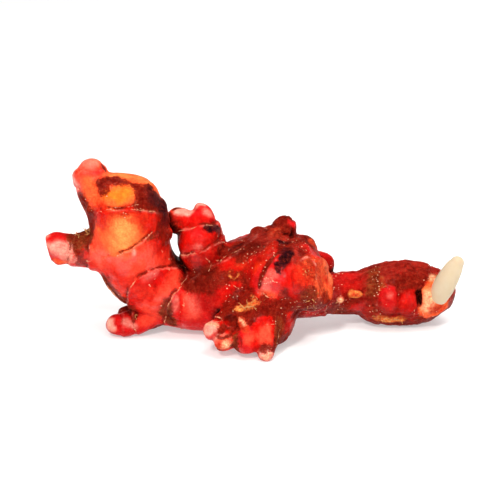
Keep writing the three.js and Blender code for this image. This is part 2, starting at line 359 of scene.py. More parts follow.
def ring_presence(points, ring):
    """How much of a ring is left at each point, from 0 to 1."""
    if ring not in RING_ENDS:
        return 1.0
    direction, end = RING_ENDS[ring]
    return smoothstep(end + 2.5, end - 1.5, points @ np.array(direction, np.float32))


def ring_relief(points, finger):
    """Height added to a finger's skin by its node rings: a lip that ends in a step down."""
    relief = np.zeros(len(points), np.float32)
    for name, ring in RINGS.items():
        if ring[0] == finger:
            u = ring_offset(points, name)
            relief -= ring[4] * np.tanh(u / 0.28) * np.exp(-np.abs(u) / 3.0) * ring_presence(points, name)
    return relief


class Field:
    """Distance to the root's skin on an even grid, in millimetres of the growth frame."""

    def __init__(self, spacing):
        self.spacing = spacing
        self.shape = np.ceil((GRID_HIGH - GRID_LOW) / spacing).astype(int) + 1
        self.values = np.full(self.shape, 9.0, np.float32)

    def region(self, low, high):
        """The part of the grid inside a box, and its points."""
        first = np.clip(np.floor((np.asarray(low) - GRID_LOW) / self.spacing).astype(int), 0, self.shape - 1)
        last = np.clip(np.ceil((np.asarray(high) - GRID_LOW) / self.spacing).astype(int) + 1, 1, self.shape)
        axes = [GRID_LOW[i] + self.spacing * np.arange(first[i], last[i]) for i in range(3)]
        grid = np.stack(np.meshgrid(*axes, indexing="ij"), -1).astype(np.float32)
        return tuple(slice(a, b) for a, b in zip(first, last)), grid.reshape(-1, 3)

    def join(self, low, high, distance, k):
        """Grows another shape into the root; distance gives it at the points near it."""
        where, points = self.region(low, high)
        old = self.values[where]
        self.values[where] = soft_min(old, distance(points).reshape(old.shape), k)

    def cut(self, low, high, distance, k):
        """Takes another shape away from the root."""
        where, points = self.region(low, high)
        old = self.values[where]
        self.values[where] = -soft_min(-old, distance(points).reshape(old.shape), k)

    def near(self, reach):
        """The part of the grid close to the skin, and its points."""
        where = np.abs(self.values) < reach
        return where, (GRID_LOW + np.argwhere(where) * self.spacing).astype(np.float32)

    def sample(self, points):
        """The distance at any point, between the points of the grid."""
        q = (np.asarray(points) - GRID_LOW) / self.spacing
        q = np.clip(q, 0, self.shape - 1.001)
        whole = q.astype(int)
        f = q - whole
        total = 0
        for corner in range(8):
            step = np.array([corner & 1, corner >> 1 & 1, corner >> 2])
            i, j, k = (whole + step).T
            total = total + np.prod(np.where(step, f, 1 - f), axis=1) * self.values[i, j, k]
        return total

    def gradient(self, points):
        """The direction out of the root."""
        e = self.spacing * 0.9
        g = np.stack([self.sample(points + d) - self.sample(points - d) for d in np.eye(3) * e], 1)
        return g / np.maximum(np.linalg.norm(g, axis=1, keepdims=True), 1e-6)


def finger_line(name):
    """The smooth line of a finger, with its radius."""
    return catmull_rom(FINGERS[name][1])


def grow_field(spacing):
    """The whole root as one distance field: fingers, rings, folds, knobs, hollows and scars."""
    field = Field(spacing)
    for name, (blend, _) in FINGERS.items():
        line = finger_line(name)
        low = (line[:, :3] - line[:, 3:]).min(0) - 5
        high = (line[:, :3] + line[:, 3:]).max(0) + 5

        def ringed(p):
            distance = line_distance(p, line)
            close = np.abs(distance) < 3
            distance[close] -= ring_relief(p[close], name)
            return distance

        field.join(low, high, ringed, blend)
    for radius, path in FOLDS:
        line = swelling_line(path, radius, 0.35)
        field.join(line[:, :3].min(0) - 5, line[:, :3].max(0) + 5, lambda p: line_distance(p, line), 1.2)
    for centre, radii in KNOBS:
        reach = np.array(radii) + 4
        field.join(centre - reach, centre + reach, lambda p: ball_distance(p, centre, radii), 1.0)

    # Broad lumps, then small ones: no finger is quite round.
    where, points = field.near(5)
    lumps = 0.5 * noise(points, 15, 3) + 0.35 * noise(points, 7.5, 4)
    field.values[where] -= lumps + 0.16 * noise(points, 3.6, 5)

    # Shrunken skin: wandering creases over the crown and the right finger, none on the plump left finger.
    where, points = field.near(3)
    old = smoothstep(-22, -12, points[:, 0]) * (0.35 + 0.65 * smoothstep(-0.2, 0.5, noise(points, 11, 25)))
    crease = np.zeros(len(points), np.float32)
    for size, depth, seed in ((10, 0.55, 22), (6, 0.35, 23), (3.2, 0.22, 24)):
        crease += depth * smoothstep(0.80, 1.0, 1 - np.abs(noise(points, size, seed)))
    field.values[where] += old * crease

    for centre, radii, height in FLAPS:
        where, points = field.near(3)
        offset = (points - np.array(centre, np.float32)) / np.array(radii, np.float32)
        inside = 1 - np.linalg.norm(offset, axis=1)
        close = inside > -0.3
        ragged = inside[close] + 0.16 * noise(points[close], 2.4, 15) + 0.10 * noise(points[close], 1.1, 16)
        rise = np.zeros(len(points), np.float32)
        rise[close] = height * smoothstep(-0.04, 0.07, ragged)
        field.values[where] -= rise

    for centre, radii in HOLLOWS:
        reach = np.array(radii) + 4
        field.cut(centre - reach, centre + reach,
                  lambda p: ball_distance(p, centre, radii) + 0.3 * noise(p, 2.2, 17), 0.6)
    for radius, path in GROOVES:
        line = swelling_line(path, radius, 0.25)
        field.cut(line[:, :3].min(0) - 4, line[:, :3].max(0) + 4,
                  lambda p: line_distance(p + 0.5 * noise(p, 3, 18)[:, None], line), 0.5)
    for centre, radii in NODULES:
        reach = np.array(radii) + 3
        field.join(centre - reach, centre + reach,
                   lambda p: ball_distance(p, centre, radii) - 0.4 * noise(p, 2.2, 19), 0.7)
    for centre, outward, radius in EYES:
        n = unit(outward)
        field.join(np.array(centre) - radius - 3, np.array(centre) + radius + 3,
                   lambda p: ring_distance(p, centre, n, radius) - 0.38 - 0.15 * noise(p, 1.5, 20), 0.35)
    for point, outward, extent in SCARS:
        n = unit(outward)
        p0 = np.array(point, float)

        def broken(p):
            away = p - p0
            height = away @ n
            spread = np.sqrt(np.maximum((away * away).sum(1) - height * height, 0))
            dish = 0.9 * np.maximum(1 - (spread / 9) ** 2, -1)
            face = -(height + dish + 0.25 * rough(p, 3.5, 3, 21))
            return np.maximum(face, np.linalg.norm(away, axis=1) - extent)

        field.cut(p0 - extent - 2, p0 + extent + 2, broken, 0.5)

    # Nothing reaches below the surface that the root rests on.
    heights = GRID_LOW[2] + spacing * np.arange(field.shape[2])
    field.values = np.maximum(field.values, -heights[None, None, :].astype(np.float32))
    return field


# Keeps the field once it is grown.
GROWN = {}


def root_field():
    """The field is grown once and shared by every piece that follows the skin."""
    if "field" not in GROWN:
        GROWN["field"] = grow_field(bpy.context.scene.ginger_sizes.skin_grid / MM)
    return GROWN["field"]


def settle(field, points, rounds=3):
    """Moves points onto the skin."""
    for _ in range(rounds):
        points = points - field.gradient(points) * field.sample(points)[:, None]
    return points


# ---------------------------------------------------------------------------------------------------------
# Tissue: which kind of skin or flesh shows where
# ---------------------------------------------------------------------------------------------------------

TISSUES = ["red", "crimson", "salmon", "orange", "glow", "maroon", "black", "bark", "pale", "flesh", "gold",
           "deep", "cream", "amber", "sheath", "wine"]

# Patches of tissue, each over the ones before it: tissue, strength, softness of the edge, radius, and a point
# or a line in millimetres of the growth frame. A last entry, where there is one, keeps the patch to one side
# of a ring: before it (-1) or past it (+1), towards the finger's tip.
PATCHES = [
    # Left finger: one colour to each segment, from the saddle up to the cap.
    ("crimson", 0.75, 3, 15, [(-24, 0, 12), (-32, 2, 16)], ("left_low", -1)),
    ("red", 1, 1.5, 17, [(-30, 0, 22), (-38, 0, 22)], ("left_low", 1)),
    ("salmon", 0.85, 2.5, 17, [(-46, 0, 27), (-36, 0, 38)], ("left_mid", 1)),
    ("orange", 1, 2.5, 16, [(-46, 0, 40), (-46, 0, 46)], ("left_high", 1)),
    ("orange", 1, 1, 17, [(-46, 0, 56), (-44, 0, 60)], ("left_top", 1)),
    # Back: salmon where the skin is young, dry maroon and cork round the older rings.
    ("salmon", 0.8, 3, 8, [(-44, 12, 53), (-46, 13, 44)]),
    ("red", 0.7, 3, 5, [(-36, 12, 46), (-38, 15, 38)]),
    ("maroon", 0.7, 2, 4, [(-51, 10, 58), (-46, 12, 53.5), (-39, 11, 54)]),
    ("amber", 0.7, 2, 3, [(-44, 10.5, 57.5)]),
    ("bark", 0.8, 1.4, 2.4, [(-55.5, 9, 45), (-54, 12, 38), (-50, 14, 33)]),
    ("maroon", 0.75, 2.2, 4.5, [(-30, 20, 14), (-22, 21.5, 15)]),
    ("bark", 0.7, 1.4, 2, [(-24, 21, 18), (-23, 21.5, 11)]),
    ("salmon", 0.5, 3, 5, [(-8, 21, 26), (1, 21.5, 28)]),
    ("maroon", 0.8, 2.2, 4, [(5, 20, 31), (12, 18, 27), (17, 16, 22)]),
    ("bark", 0.8, 1.6, 3, [(4, 19.5, 12), (-1, 20, 17.5), (-8, 19, 13)]),
    ("wine", 0.6, 2, 5, [(56, 24, 12)]),
    # Top segment: a painted yellow glow of light through the skin over pale flesh, red round the sides and
    # under the ring.
    ("red", 0.85, 2.2, 4.5, [(-56, -4, 49), (-52.5, -9.5, 48.6), (-47, -11.5, 51), (-41, -11, 50.5)],
     ("left_top", -1)),
    ("red", 0.95, 3, 6.5, [(-33, -4, 50), (-34, -8, 46), (-31, -4, 40)], ("left_top", -1)),
    ("salmon", 0.9, 2.5, 4.5, [(-56, -5, 41), (-55, -7, 34), (-53, -7, 29)]),
    ("red", 0.6, 2, 3, [(-58, -3, 30), (-54, -5, 24)]),
    ("glow", 0.95, 4.8, 3, [(-45.6, -12, 46), (-45.2, -12.2, 43), (-46.4, -11.6, 40.6)], ("left_top", -1)),
    ("maroon", 0.75, 2.4, 3.8, [(-31, -1, 47), (-31.2, -3, 41), (-31.2, -3, 38)]),
    ("maroon", 0.45, 1.4, 1.4, [(-36, -9, 41.4), (-34, -7, 40.5)]),
    ("bark", 0.55, 1, 1, [(-38.6, -10, 40.2), (-35, -8, 41.5)]),
    # Thumb: salmon with a pale tip.
    ("salmon", 1, 1.8, 6.4, [(-57.5, -3, 62), (-56.6, -4.2, 57)]),
    ("orange", 0.55, 2, 2.6, [(-56.3, -8.8, 58.6), (-55.6, -8.8, 55.4)]),
    ("red", 0.8, 1.2, 1.5, [(-61.5, -6.6, 60), (-60.6, -7.2, 57), (-58.9, -7.6, 54.5)]),
    ("pale", 0.35, 1.4, 4.2, [(-57.2, -3, 69)]),
    ("amber", 0.3, 2, 2.4, [(-56.8, -8, 61), (-55.6, -8.8, 57.4)]),
    ("crimson", 0.8, 0.9, 1, [(-59.4, -7.4, 63.6), (-56, -7.6, 64), (-53, -4.6, 64.4)]),
    ("pale", 0.8, 0.7, 0.9, [(-62.4, -3.4, 64.5), (-62.4, -5.2, 61.5), (-61.4, -6.8, 59.4)]),
    ("maroon", 0.9, 0.5, 0.8, [(-52.6, -2.8, 65.6), (-51.9, -3, 64)]),
    # Cap: a little painted glow between a dark bark patch on the left and a black one on the right.
    ("glow", 0.25, 1.5, 2, [(-50, -3.5, 62), (-44, -0.5, 61.8), (-38, -0.5, 60)]),
    ("maroon", 0.9, 1.4, 2, [(-48, -4.8, 60.4), (-41, -7.2, 58.4), (-39.6, -9.5, 55)]),
    ("maroon", 0.85, 1.4, 2.2, [(-39.5, -9.8, 53.8), (-44.6, -10.5, 52)]),
    ("red", 0.8, 1.4, 1.6, [(-43, -10.4, 52.4), (-48, -10.5, 52), (-53, -9.6, 51.4)]),
    ("orange", 0.9, 1.4, 3.2, [(-52, -9.4, 54.6), (-47.6, -8.6, 56), (-44.4, -8.4, 56.6)]),
    ("amber", 1, 1.8, 2.8, [(-50, -9, 55.8), (-45, -8.6, 57)]),
    ("orange", 0.9, 1.2, 1.6, [(-51.3, -9.3, 54), (-49.5, -9.6, 53.6)]),
    ("maroon", 0.95, 1, 1.7, [(-54.6, -7.8, 60.4), (-51.5, -5.6, 60.8), (-48.5, -3.4, 61.2)]),
    ("maroon", 0.8, 1, 1.4, [(-51, -7, 58.8), (-53.4, -8, 57)]),
    ("crimson", 0.25, 0.8, 1.4, [(-50.3, -6, 58.8)]),
    ("red", 0.85, 1.6, 2.6, [(-56.5, -8, 54.8), (-54.6, -8.4, 52.8), (-53, -9.4, 51.6)]),
    ("maroon", 0.9, 1.6, 3, [(-60.2, -5.6, 54), (-58.8, -6, 50), (-57.6, -5.6, 46), (-57, -4, 43)]),
    ("maroon", 0.9, 2, 4.2, [(-37.8, -5.6, 56), (-36.2, -6.6, 54.4), (-34, -4.8, 52.4), (-31.6, -2, 50)]),
    ("black", 0.75, 1.6, 2.8, [(-36.2, -4.2, 57.2), (-34.8, -4.8, 55), (-33, -3.2, 53), (-31.4, -2, 50)]),
    ("orange", 0.5, 1.6, 2.8, [(-57.4, -7.6, 60.6), (-57, -8.4, 57), (-56.4, -8.6, 54.8)]),
    ("orange", 0.7, 1.4, 2, [(-57.4, -7.6, 60.6), (-57, -8.4, 57)]),
    ("black", 0.75, 1.6, 2.8, [(-31.2, -1.5, 49), (-30.6, -2, 45.6)]),
    # Side stub: bark at the neck and a cream-pink worn face.
    ("bark", 0.95, 1.6, 5.5, [(-59.5, -1, 38), (-62.5, -2, 37)]),
    ("red", 0.7, 1.8, 3.4, [(-60, -5, 33), (-60, -5.2, 29.5)]),
    ("maroon", 0.65, 1.2, 2, [(-62.5, -5, 34), (-62, -4.6, 30)]),
    ("crimson", 0.9, 1.4, 6.5, [(-70.5, 0, 34)]),
    ("pale", 0.8, 1, 3.2, [(-70.4, -4.8, 37), (-67.4, -5.6, 35.4), (-66.4, -5.4, 33.2)]),
    ("crimson", 0.95, 0.8, 1.5, [(-71.8, -3.4, 38.6), (-69.8, -3.6, 39.8), (-67.5, -3.6, 39.5)]),
    ("pale", 0.85, 0.7, 1, [(-73.4, -1.6, 39.5), (-73.6, -1.6, 37)]),
    ("orange", 0.8, 0.9, 1.6, [(-70, -3.8, 31), (-67, -4.2, 30.2)]),
    ("gold", 0.8, 0.6, 0.9, [(-60.4, -2, 40.6), (-58.2, -1.4, 41.6)]),
    # Fourth segment: salmon, redder below; a small pale spot beside the ring.
    ("red", 0.75, 3, 4.2, [(-50.5, -8.8, 27.5), (-47, -9.4, 23.6), (-44.5, -8.4, 20)], ("left_mid", 1)),
    ("pale", 0.85, 0.6, 0.7, [(-42.2, -11.4, 37.4), (-42, -11.4, 36.2)]),
    ("red", 0.6, 2.5, 4, [(-32.5, -5, 36), (-30.5, -4, 32)]),
    ("maroon", 0.45, 2, 3, [(-33, -6, 42.4), (-31.2, -4.4, 38.4)]),
    # Third segment: bright red with a painted pink sheen at the top and salmon at the lower right.
    ("salmon", 0.25, 2, 3.4, [(-39.5, -8.6, 21.5), (-37.5, -8.8, 19.5)], ("left_low", 1)),
    ("crimson", 0.6, 2.4, 3.2, [(-37.5, -10, 26.6), (-34.4, -8.4, 28)], ("left_mid", -1)),
    ("pale", 0.35, 1.8, 1.6, [(-37.6, -10.2, 26.8), (-34.8, -8.8, 28.2)], ("left_mid", -1)),
    ("salmon", 0.8, 2.4, 3, [(-27.6, -3.6, 24.6), (-29.6, -5.8, 21.6), (-33, -7.4, 17.4)], ("left_low", 1)),
    ("salmon", 0.6, 2.4, 3.6, [(-37.5, -6, 13), (-34.5, -5.5, 9)]),
    # Saddle: glossy pink each side of a dark groove, bark where it meets the ring.
    ("salmon", 0.6, 1.8, 3, [(-24, -5.4, 16), (-22.4, -6, 12)]),
    ("pale", 0.2, 2, 2.4, [(-22, -5.6, 16.6), (-21.6, -6, 13)]),
    ("pale", 0.45, 1, 1.2, [(-28, -6.2, 16.8), (-28.3, -6, 13.5)]),
    ("red", 0.95, 0.5, 0.55, [(-26.5, -5.8, 18.6), (-26.3, -6.2, 14.6), (-26.4, -5.8, 10.6),
     (-26.9, -3, 5.6)]),
    ("bark", 0.95, 1.5, 2.2, [(-31.4, -6.2, 14.4), (-32, -5.2, 10.8), (-31.2, -5, 8), (-29.8, -3, 5)]),
    # Painted shade in the saddle's groove.
    ("deep", 0.6, 0.9, 1, [(-30.6, -6.4, 12.4), (-30.6, -5.2, 8.4)]),
    ("red", 0.8, 1.4, 2.4, [(-16.5, -4.5, 13.5), (-13.5, -6.5, 13)]),
    # Low bud: pink-red stripes and a cream tip.
    ("crimson", 0.9, 1.5, 5.5, [(-41, 1, 7), (-47, 1, 5)]),
    ("salmon", 0.7, 1.4, 2, [(-40.5, -2.8, 7), (-37.5, -3, 7)]),
    ("pale", 0.6, 0.8, 1.1, [(-46.5, -3.2, 7), (-43.6, -3.2, 5.4)]),
    ("pale", 1, 0.8, 1.7, [(-52.4, -2.4, 6.2), (-51.8, -3, 4.6)]),
    ("maroon", 0.9, 0.5, 0.7, [(-42.6, -2, 9.6), (-43.8, -3, 7.2)]),
    ("maroon", 0.8, 1.2, 2.4, [(-44, 8, 8.5), (-48, 8, 7.5)]),
    # Foot of the left finger: a torn brown edge.
    ("maroon", 0.8, 1.4, 2.8, [(-53.6, -4.4, 23.6), (-50.8, -4.6, 18.8), (-47.8, -4, 15.2),
     (-44.6, -3.4, 12.4)]),
    ("bark", 0.8, 1, 1.9, [(-53.4, -3.6, 23.2), (-50.6, -3, 18.6), (-47.4, -2.2, 15), (-45, -2, 13)]),
    # Bridge and crease between the left finger and the second one, with painted shade in the crease: maroon
    # under near-black.
    ("maroon", 0.95, 1.8, 3.6, [(-27.5, 1.8, 30), (-24.5, 0, 30)]),
    ("deep", 1, 1.2, 1.7, [(-25, 1, 33.4), (-24.2, 0.4, 28), (-23, -1, 24.6), (-21.4, -3, 22.4)]),
    ("maroon", 1, 1.6, 3.4, [(-22, -3, 23), (-18.4, -4, 24), (-15.4, -5, 24)]),
    ("maroon", 0.85, 2.2, 4.6, [(-18.4, -5.4, 22.6), (-12.8, -5.6, 25.6)]),
    # Second finger.
    ("red", 1, 1.5, 9.5, [(-19, 5, 32), (-19, 8, 40)]),
    ("crimson", 0.8, 1.2, 6, [(-19.5, 9, 45)], ("second_high", 1)),
    ("pale", 0.5, 1, 1.4, [(-17.2, 6.4, 46), (-15.4, 6.6, 45.2)]),
    ("pale", 0.8, 0.5, 0.8, [(-22.6, 7.5, 45.6), (-20.6, 9.2, 47.6), (-17.8, 9.6, 47.8)]),
    ("red", 0.9, 0.9, 1.6, [(-22.2, 4.6, 43.4), (-18, 4.4, 43.2)]),
    ("crimson", 0.6, 1.6, 2.4, [(-22.8, 2.4, 40.6), (-19.6, 1.6, 40.6)], ("second_high", -1)),
    ("black", 1, 0.9, 2.2, [(-15.8, 2.4, 41.4), (-13.2, 4.2, 40.2), (-11.4, 5.4, 38)]),
    ("maroon", 0.75, 1.6, 2.2, [(-12.8, 2.6, 37.4), (-13, 0.2, 34.6), (-13.6, -1.2, 31.8)]),
    ("pale", 0.3, 0.8, 1.2, [(-25.6, 0.7, 31.6), (-23.4, 0, 31.8)]),
    ("pale", 0.25, 0.8, 1.4, [(-20.4, -1.5, 35.3), (-19.4, -1.6, 35)]),
    ("maroon", 0.9, 1.2, 3.4, [(-27.8, 7.5, 40.4), (-26.5, 8, 38)]),
    ("red", 0.8, 1, 1.8, [(-28, 7.2, 42.6), (-26.8, 6.8, 40.6)]),
    # Painted shade in the crease under the second finger's nub.
    ("deep", 0.9, 0.7, 1.2, [(-24.8, 7.4, 41.2), (-25.8, 6.6, 38.6)]),
    ("pale", 1, 0.8, 2.2, [(-26.8, 8.6, 45.6), (-24.2, 8.4, 45.2)]),
    ("bark", 0.9, 0.6, 1, [(-29.2, 9.5, 45.8), (-27, 10.5, 46.6)]),
    # Crown, left face: dark red, with a brown band along the top edge.
    ("wine", 0.8, 3, 15, [(-10, 2, 24), (-3, 2, 24)]),
    ("red", 0.9, 2.4, 3.4, [(-12.4, -3.6, 31), (-6.4, -5.2, 29), (-3.4, -6.4, 28)]),
    ("maroon", 0.4, 2.2, 3, [(-15, -3.4, 28.4), (-14.5, -3.8, 26)]),
    ("flesh", 0.35, 2, 2, [(-5.4, -3.6, 30.6), (-2.4, -5.6, 30)]),
    ("maroon", 0.65, 2.4, 3.6, [(-8, -0.6, 32.4), (-3, -1.6, 33.6), (2, -1.6, 35)]),
    ("wine", 0.7, 2, 2.6, [(-12.5, -2.4, 31.5), (-10, -3.2, 30.8)]),
    ("bark", 0.2, 1.8, 2.6, [(-8, -5.6, 28.4), (-5, -6.4, 28)]),
    ("maroon", 0.95, 1.6, 3.8, [(-9.6, 1, 33.4), (-5, 2.2, 34.8), (-1, 2.2, 36), (3, 2, 37), (7, 1.4, 37.6)]),
    ("black", 0.6, 0.9, 1.5, [(-8, 1, 33.2), (-3.6, 2, 35), (-0.6, 2.6, 36)]),
    ("maroon", 0.95, 1.8, 5, [(-1, 7, 37), (3, 7.4, 38)]),
    ("sheath", 0.9, 1.8, 7, [(4, 6, 37.6), (9, 6, 37.6), (13, 6, 36)]),
    ("maroon", 0.6, 1.2, 3, [(9.5, 8.4, 38.6), (14, 7.6, 37)]),
    ("sheath", 0.8, 1.6, 4, [(4, -1.6, 37), (9.6, -0.6, 37), (13.4, -3.6, 36), (15, -9.6, 33.6)]),
    ("maroon", 0.7, 1.6, 3, [(2.4, 10, 38), (5, 11, 38)]),
    ("maroon", 0.9, 1.2, 4.4, [(10.6, 11, 40)]),
    ("crimson", 0.9, 0.9, 1.8, [(14, 9, 41), (15, 10.5, 40)]),
    # Painted shade along the groove under the brown band.
    ("deep", 0.45, 2, 2.8, [(-6, 0.4, 33.6), (-1.5, -1.4, 34.6), (2.4, -2.6, 35.2)]),
    ("maroon", 0.45, 1.6, 2, [(-5.2, -3.6, 32.4), (-1.5, -5.6, 33.2)]),
    ("flesh", 0.3, 1.6, 3, [(7.5, 5.7, 37.7)]),
    ("red", 0.75, 1.4, 2, [(-11.6, -3, 30.5), (-9.6, -4, 30.2)]),
    # Painted shade in the crease between the second finger and the crown: maroon under near-black.
    ("maroon", 0.85, 2, 3.4, [(-23, -3.2, 22.5), (-19.3, -2.6, 25.2), (-15.2, -4.2, 26)]),
    ("deep", 0.5, 1.6, 2.2, [(-22, -3.2, 22.6), (-19, -2.8, 24.8), (-16, -4.4, 25.4)]),
    # Crown, front: maroon below the scar, the bright band, black patches, the glossy pink patch.
    ("maroon", 0.75, 1.8, 3.6, [(-4, -9, 25), (-8, -8.4, 23.4), (-10.5, -7.5, 25.4)]),
    ("maroon", 0.65, 1.8, 3, [(-19, -6, 21.6), (-16, -7, 21)]),
    ("gold", 0.55, 0.3, 0.35, [(-9.1, -6.8, 27.4), (-7.4, -7.2, 28.6), (-5.8, -7.8, 27.2),
     (-7.2, -8, 25.4), (-9, -7.2, 26.4)]),
    ("crimson", 0.5, 2, 2.6, [(-11.4, -8.6, 18.6), (-8.6, -8.6, 20.2)]),
    ("red", 1, 1.8, 3.6, [(-9.6, -8.8, 19), (-6.4, -10, 21)]),
    ("red", 1, 1, 2, [(7.2, -2.4, 37), (6.2, -5.4, 36), (3.2, -9.4, 33.2), (0.8, -11.6, 29.6),
     (-0.6, -12.4, 25)]),
    ("amber", 0.12, 1, 1.5, [(7.2, -2.4, 36.6), (5.4, -6.4, 35.2), (2.6, -9.8, 32.4), (0.8, -11.6, 29)]),
    ("crimson", 0.6, 0.8, 1.2, [(0.6, -11.8, 28.6), (-0.4, -12.2, 25.4)]),
    ("wine", 0.7, 1.2, 2.4, [(8, -3, 36.6), (6.3, -7.4, 35.6), (2.7, -9, 34.3)]),
    ("crimson", 0.9, 1.3, 4.2, [(7.8, -13, 30.4), (4, -13.4, 27), (4, -14.4, 23.4)]),
    ("pale", 0.3, 1.2, 1.9, [(6.2, -13.6, 29.4), (4.6, -14, 27), (3.8, -14.4, 25)]),
    ("orange", 0.6, 0.9, 1.2, [(2, -14.4, 22.4), (6.4, -15.6, 22.4)]),
    ("maroon", 0.95, 0.6, 0.75, [(10, 0.6, 37), (8.4, -7, 35.6), (5.4, -10.4, 33), (3, -12.4, 29.4),
     (1.4, -13.4, 24.6)]),
    ("maroon", 0.9, 1.2, 2.2, [(11.6, -0.5, 36.6), (14, 2.6, 36)]),
    ("black", 1, 0.9, 1.9, [(9.6, -0.4, 36.9), (11.2, -0.2, 36.8)]),
    ("maroon", 0.9, 1.2, 2.6, [(11.4, -2.6, 36.6), (11.8, -6.8, 36)]),
    ("black", 1, 1, 2.4, [(11.9, -8.4, 35.2), (10.4, -10.8, 33.6), (9.4, -12.2, 31.4)]),
    ("black", 0.7, 0.8, 1.4, [(11, -5, 36.6), (9.8, -7.6, 35.8)]),
    ("red", 0.8, 1.6, 3, [(12.8, -13.6, 30), (13.2, -15, 27), (12, -16, 24)]),
    ("maroon", 0.7, 1.4, 2.2, [(10.6, -16, 23), (12.4, -16, 19.6), (13, -14.4, 16.4)]),
    # Right lobe: red turning orange-brown on the broken face, with a peach rim.
    ("red", 0.6, 1.6, 3, [(15.4, -13.4, 30), (15.6, -15, 28), (15, -15.6, 24)]),
    ("flesh", 0.35, 1.6, 3, [(16.4, -12.4, 31), (17, -15, 27)]),
    ("wine", 0.6, 1.8, 3.4, [(16, -15.6, 24), (17.6, -15, 21)]),
    ("maroon", 0.6, 1.6, 2.4, [(17, -8, 34.4), (17.4, -3, 35)]),
    ("flesh", 0.95, 1.5, 4.6, [(20.6, -9.5, 30), (21.2, -11.5, 27), (21.6, -11.4, 23.6)]),
    ("maroon", 0.45, 1.8, 2.2, [(19, -11.6, 31.6), (18.6, -14.6, 26)]),
    ("bark", 0.75, 1.8, 3.6, [(19.4, -15, 21.6), (23, -13.4, 20.4)]),
    ("maroon", 0.6, 1.2, 1.6, [(21, -14.4, 24.4), (21.4, -13.4, 28)]),
    ("bark", 0.5, 0.8, 1.4, [(22.6, -11.6, 23.4), (22.2, -12.6, 20.6)]),
    ("flesh", 1, 1, 13, [(24, -8, 25)], ("lobe_break", 1)),
    ("orange", 0.4, 2, 4, [(25.6, -4, 30), (26.8, -4, 25), (26.4, -6, 20), (25.4, -8, 18)],
     ("lobe_break", 1)),
    ("cream", 0.15, 1.6, 2.4, [(26.6, -2.6, 29), (27.4, -2.8, 24)], ("lobe_break", 1)),
    ("bark", 0.5, 1.2, 1.2, [(23.4, -10.8, 27), (24.4, -9.8, 22.4)], ("lobe_break", 1)),
    ("maroon", 0.4, 1.2, 1.6, [(25.6, -3.3, 27.6), (25.7, -3.3, 24.6)]),
    ("maroon", 0.95, 2, 4.5, [(16, -12.6, 15.6), (21, -11.4, 17.6), (23, -9, 16)]),
    ("pale", 0.75, 0.3, 0.4, [(15.2, -12.6, 33.2), (17, -10.6, 34.2), (18.8, -8.6, 34.2), (20.6, -9, 33),
     (21.6, -10.4, 31.6)]),
    # Buds behind the crown.
    ("maroon", 0.85, 1, 4.4, [(18.6, 9.4, 33.4)]),
    ("flesh", 0.9, 0.8, 1.9, [(21, 9.6, 34), (22.6, 9.8, 31.8)]),
    ("crimson", 0.55, 1.5, 6.2, [(25, 15, 23)]),
    ("maroon", 0.6, 1.2, 3.6, [(24, 13, 20), (21.6, 12.4, 25)]),
    # Front cluster: pale bud ends, red lobes, brown hollows between them and painted shade in the deepest gap.
    ("maroon", 0.8, 2, 10, [(-3, -12, 13), (5, -14, 11)]),
    ("maroon", 0.9, 1, 2.6, [(0.6, -12.6, 14.6), (5.4, -13.6, 14.6), (8.6, -16, 14.8)]),
    ("deep", 0.5, 0.9, 1.2, [(2.6, -13.6, 15), (5.4, -14.6, 15)]),
    ("maroon", 0.8, 1.2, 3, [(-11, -16, 14), (-7, -15, 15)]),
    ("red", 0.8, 1, 4.4, [(-12.4, -16, 9.4)]),
    ("pale", 0.85, 0.9, 3, [(-15.8, -19, 11.4)]),
    ("cream", 0.7, 0.5, 0.8, [(-17.6, -17.4, 12.6), (-15.4, -18, 13.2), (-13.2, -18.4, 12.4)]),
    ("maroon", 0.9, 0.8, 1.4, [(-11, -18.4, 11.4), (-12, -19.6, 9.8)]),
    ("pale", 0.8, 1, 2.4, [(-12.6, -21, 7.6), (-10.6, -21.6, 7.4)]),
    ("salmon", 0.9, 0.8, 1.7, [(-13.4, -20.4, 6.4), (-11.2, -21.8, 6.6), (-9.4, -22.2, 7.4)]),
    ("orange", 0.5, 0.8, 1, [(-12, -20.6, 8.4), (-9.4, -21.2, 8.8)]),
    ("maroon", 0.8, 0.6, 0.8, [(-13.6, -20.6, 9.2), (-11.2, -21.4, 8.6), (-9, -20.6, 9.2)]),
    ("flesh", 0.7, 0.8, 2, [(-12.4, -20.8, 4.6), (-9.4, -22, 5.6)]),
    ("maroon", 0.9, 0.5, 0.6, [(-13.6, -19.8, 4), (-11.4, -21.2, 3), (-9, -22.2, 3.2)]),
    ("cream", 0.9, 0.6, 1.4, [(-10, -21.6, 6.2), (-9.2, -22, 5.2), (-8.2, -22.4, 4.4)]),
    ("bark", 0.9, 1, 2.3, [(-5.8, -21.4, 8.6), (-5.7, -21.4, 5.4)]),
    ("maroon", 0.5, 1, 1.6, [(-7.6, -19, 10.6), (-6.6, -18.4, 12)]),
    ("crimson", 0.9, 0.9, 3.6, [(-2.6, -21.6, 9.4), (-2.6, -22.6, 6.4)]),
    ("salmon", 0.9, 1, 2, [(-2.2, -23, 8.4)]),
    ("flesh", 0.8, 0.6, 1.3, [(-5.2, -17.2, 14.2), (-4, -19.3, 12.6), (-3, -21, 11)]),
    ("cream", 0.8, 0.4, 0.6, [(-5.2, -17.2, 14.2), (-3.6, -19.3, 12.8)]),
    ("red", 1, 0.9, 4.4, [(3.2, -19, 11), (3, -22, 7)]),
    ("salmon", 1, 1, 2.3, [(3.8, -20.4, 11.6), (3.6, -22.2, 8.4)]),
    ("salmon", 0.6, 1, 1.8, [(-0.1, -21.9, 9.6)]),
    ("bark", 0.85, 1, 2.3, [(9.4, -18, 12.4), (8.6, -18.6, 9), (8.6, -19.4, 6.4)]),
    # Painted shade in the groove beside the right bud.
    ("deep", 0.7, 0.8, 1.2, [(8.8, -18.8, 9.8), (8.2, -19.6, 7)]),
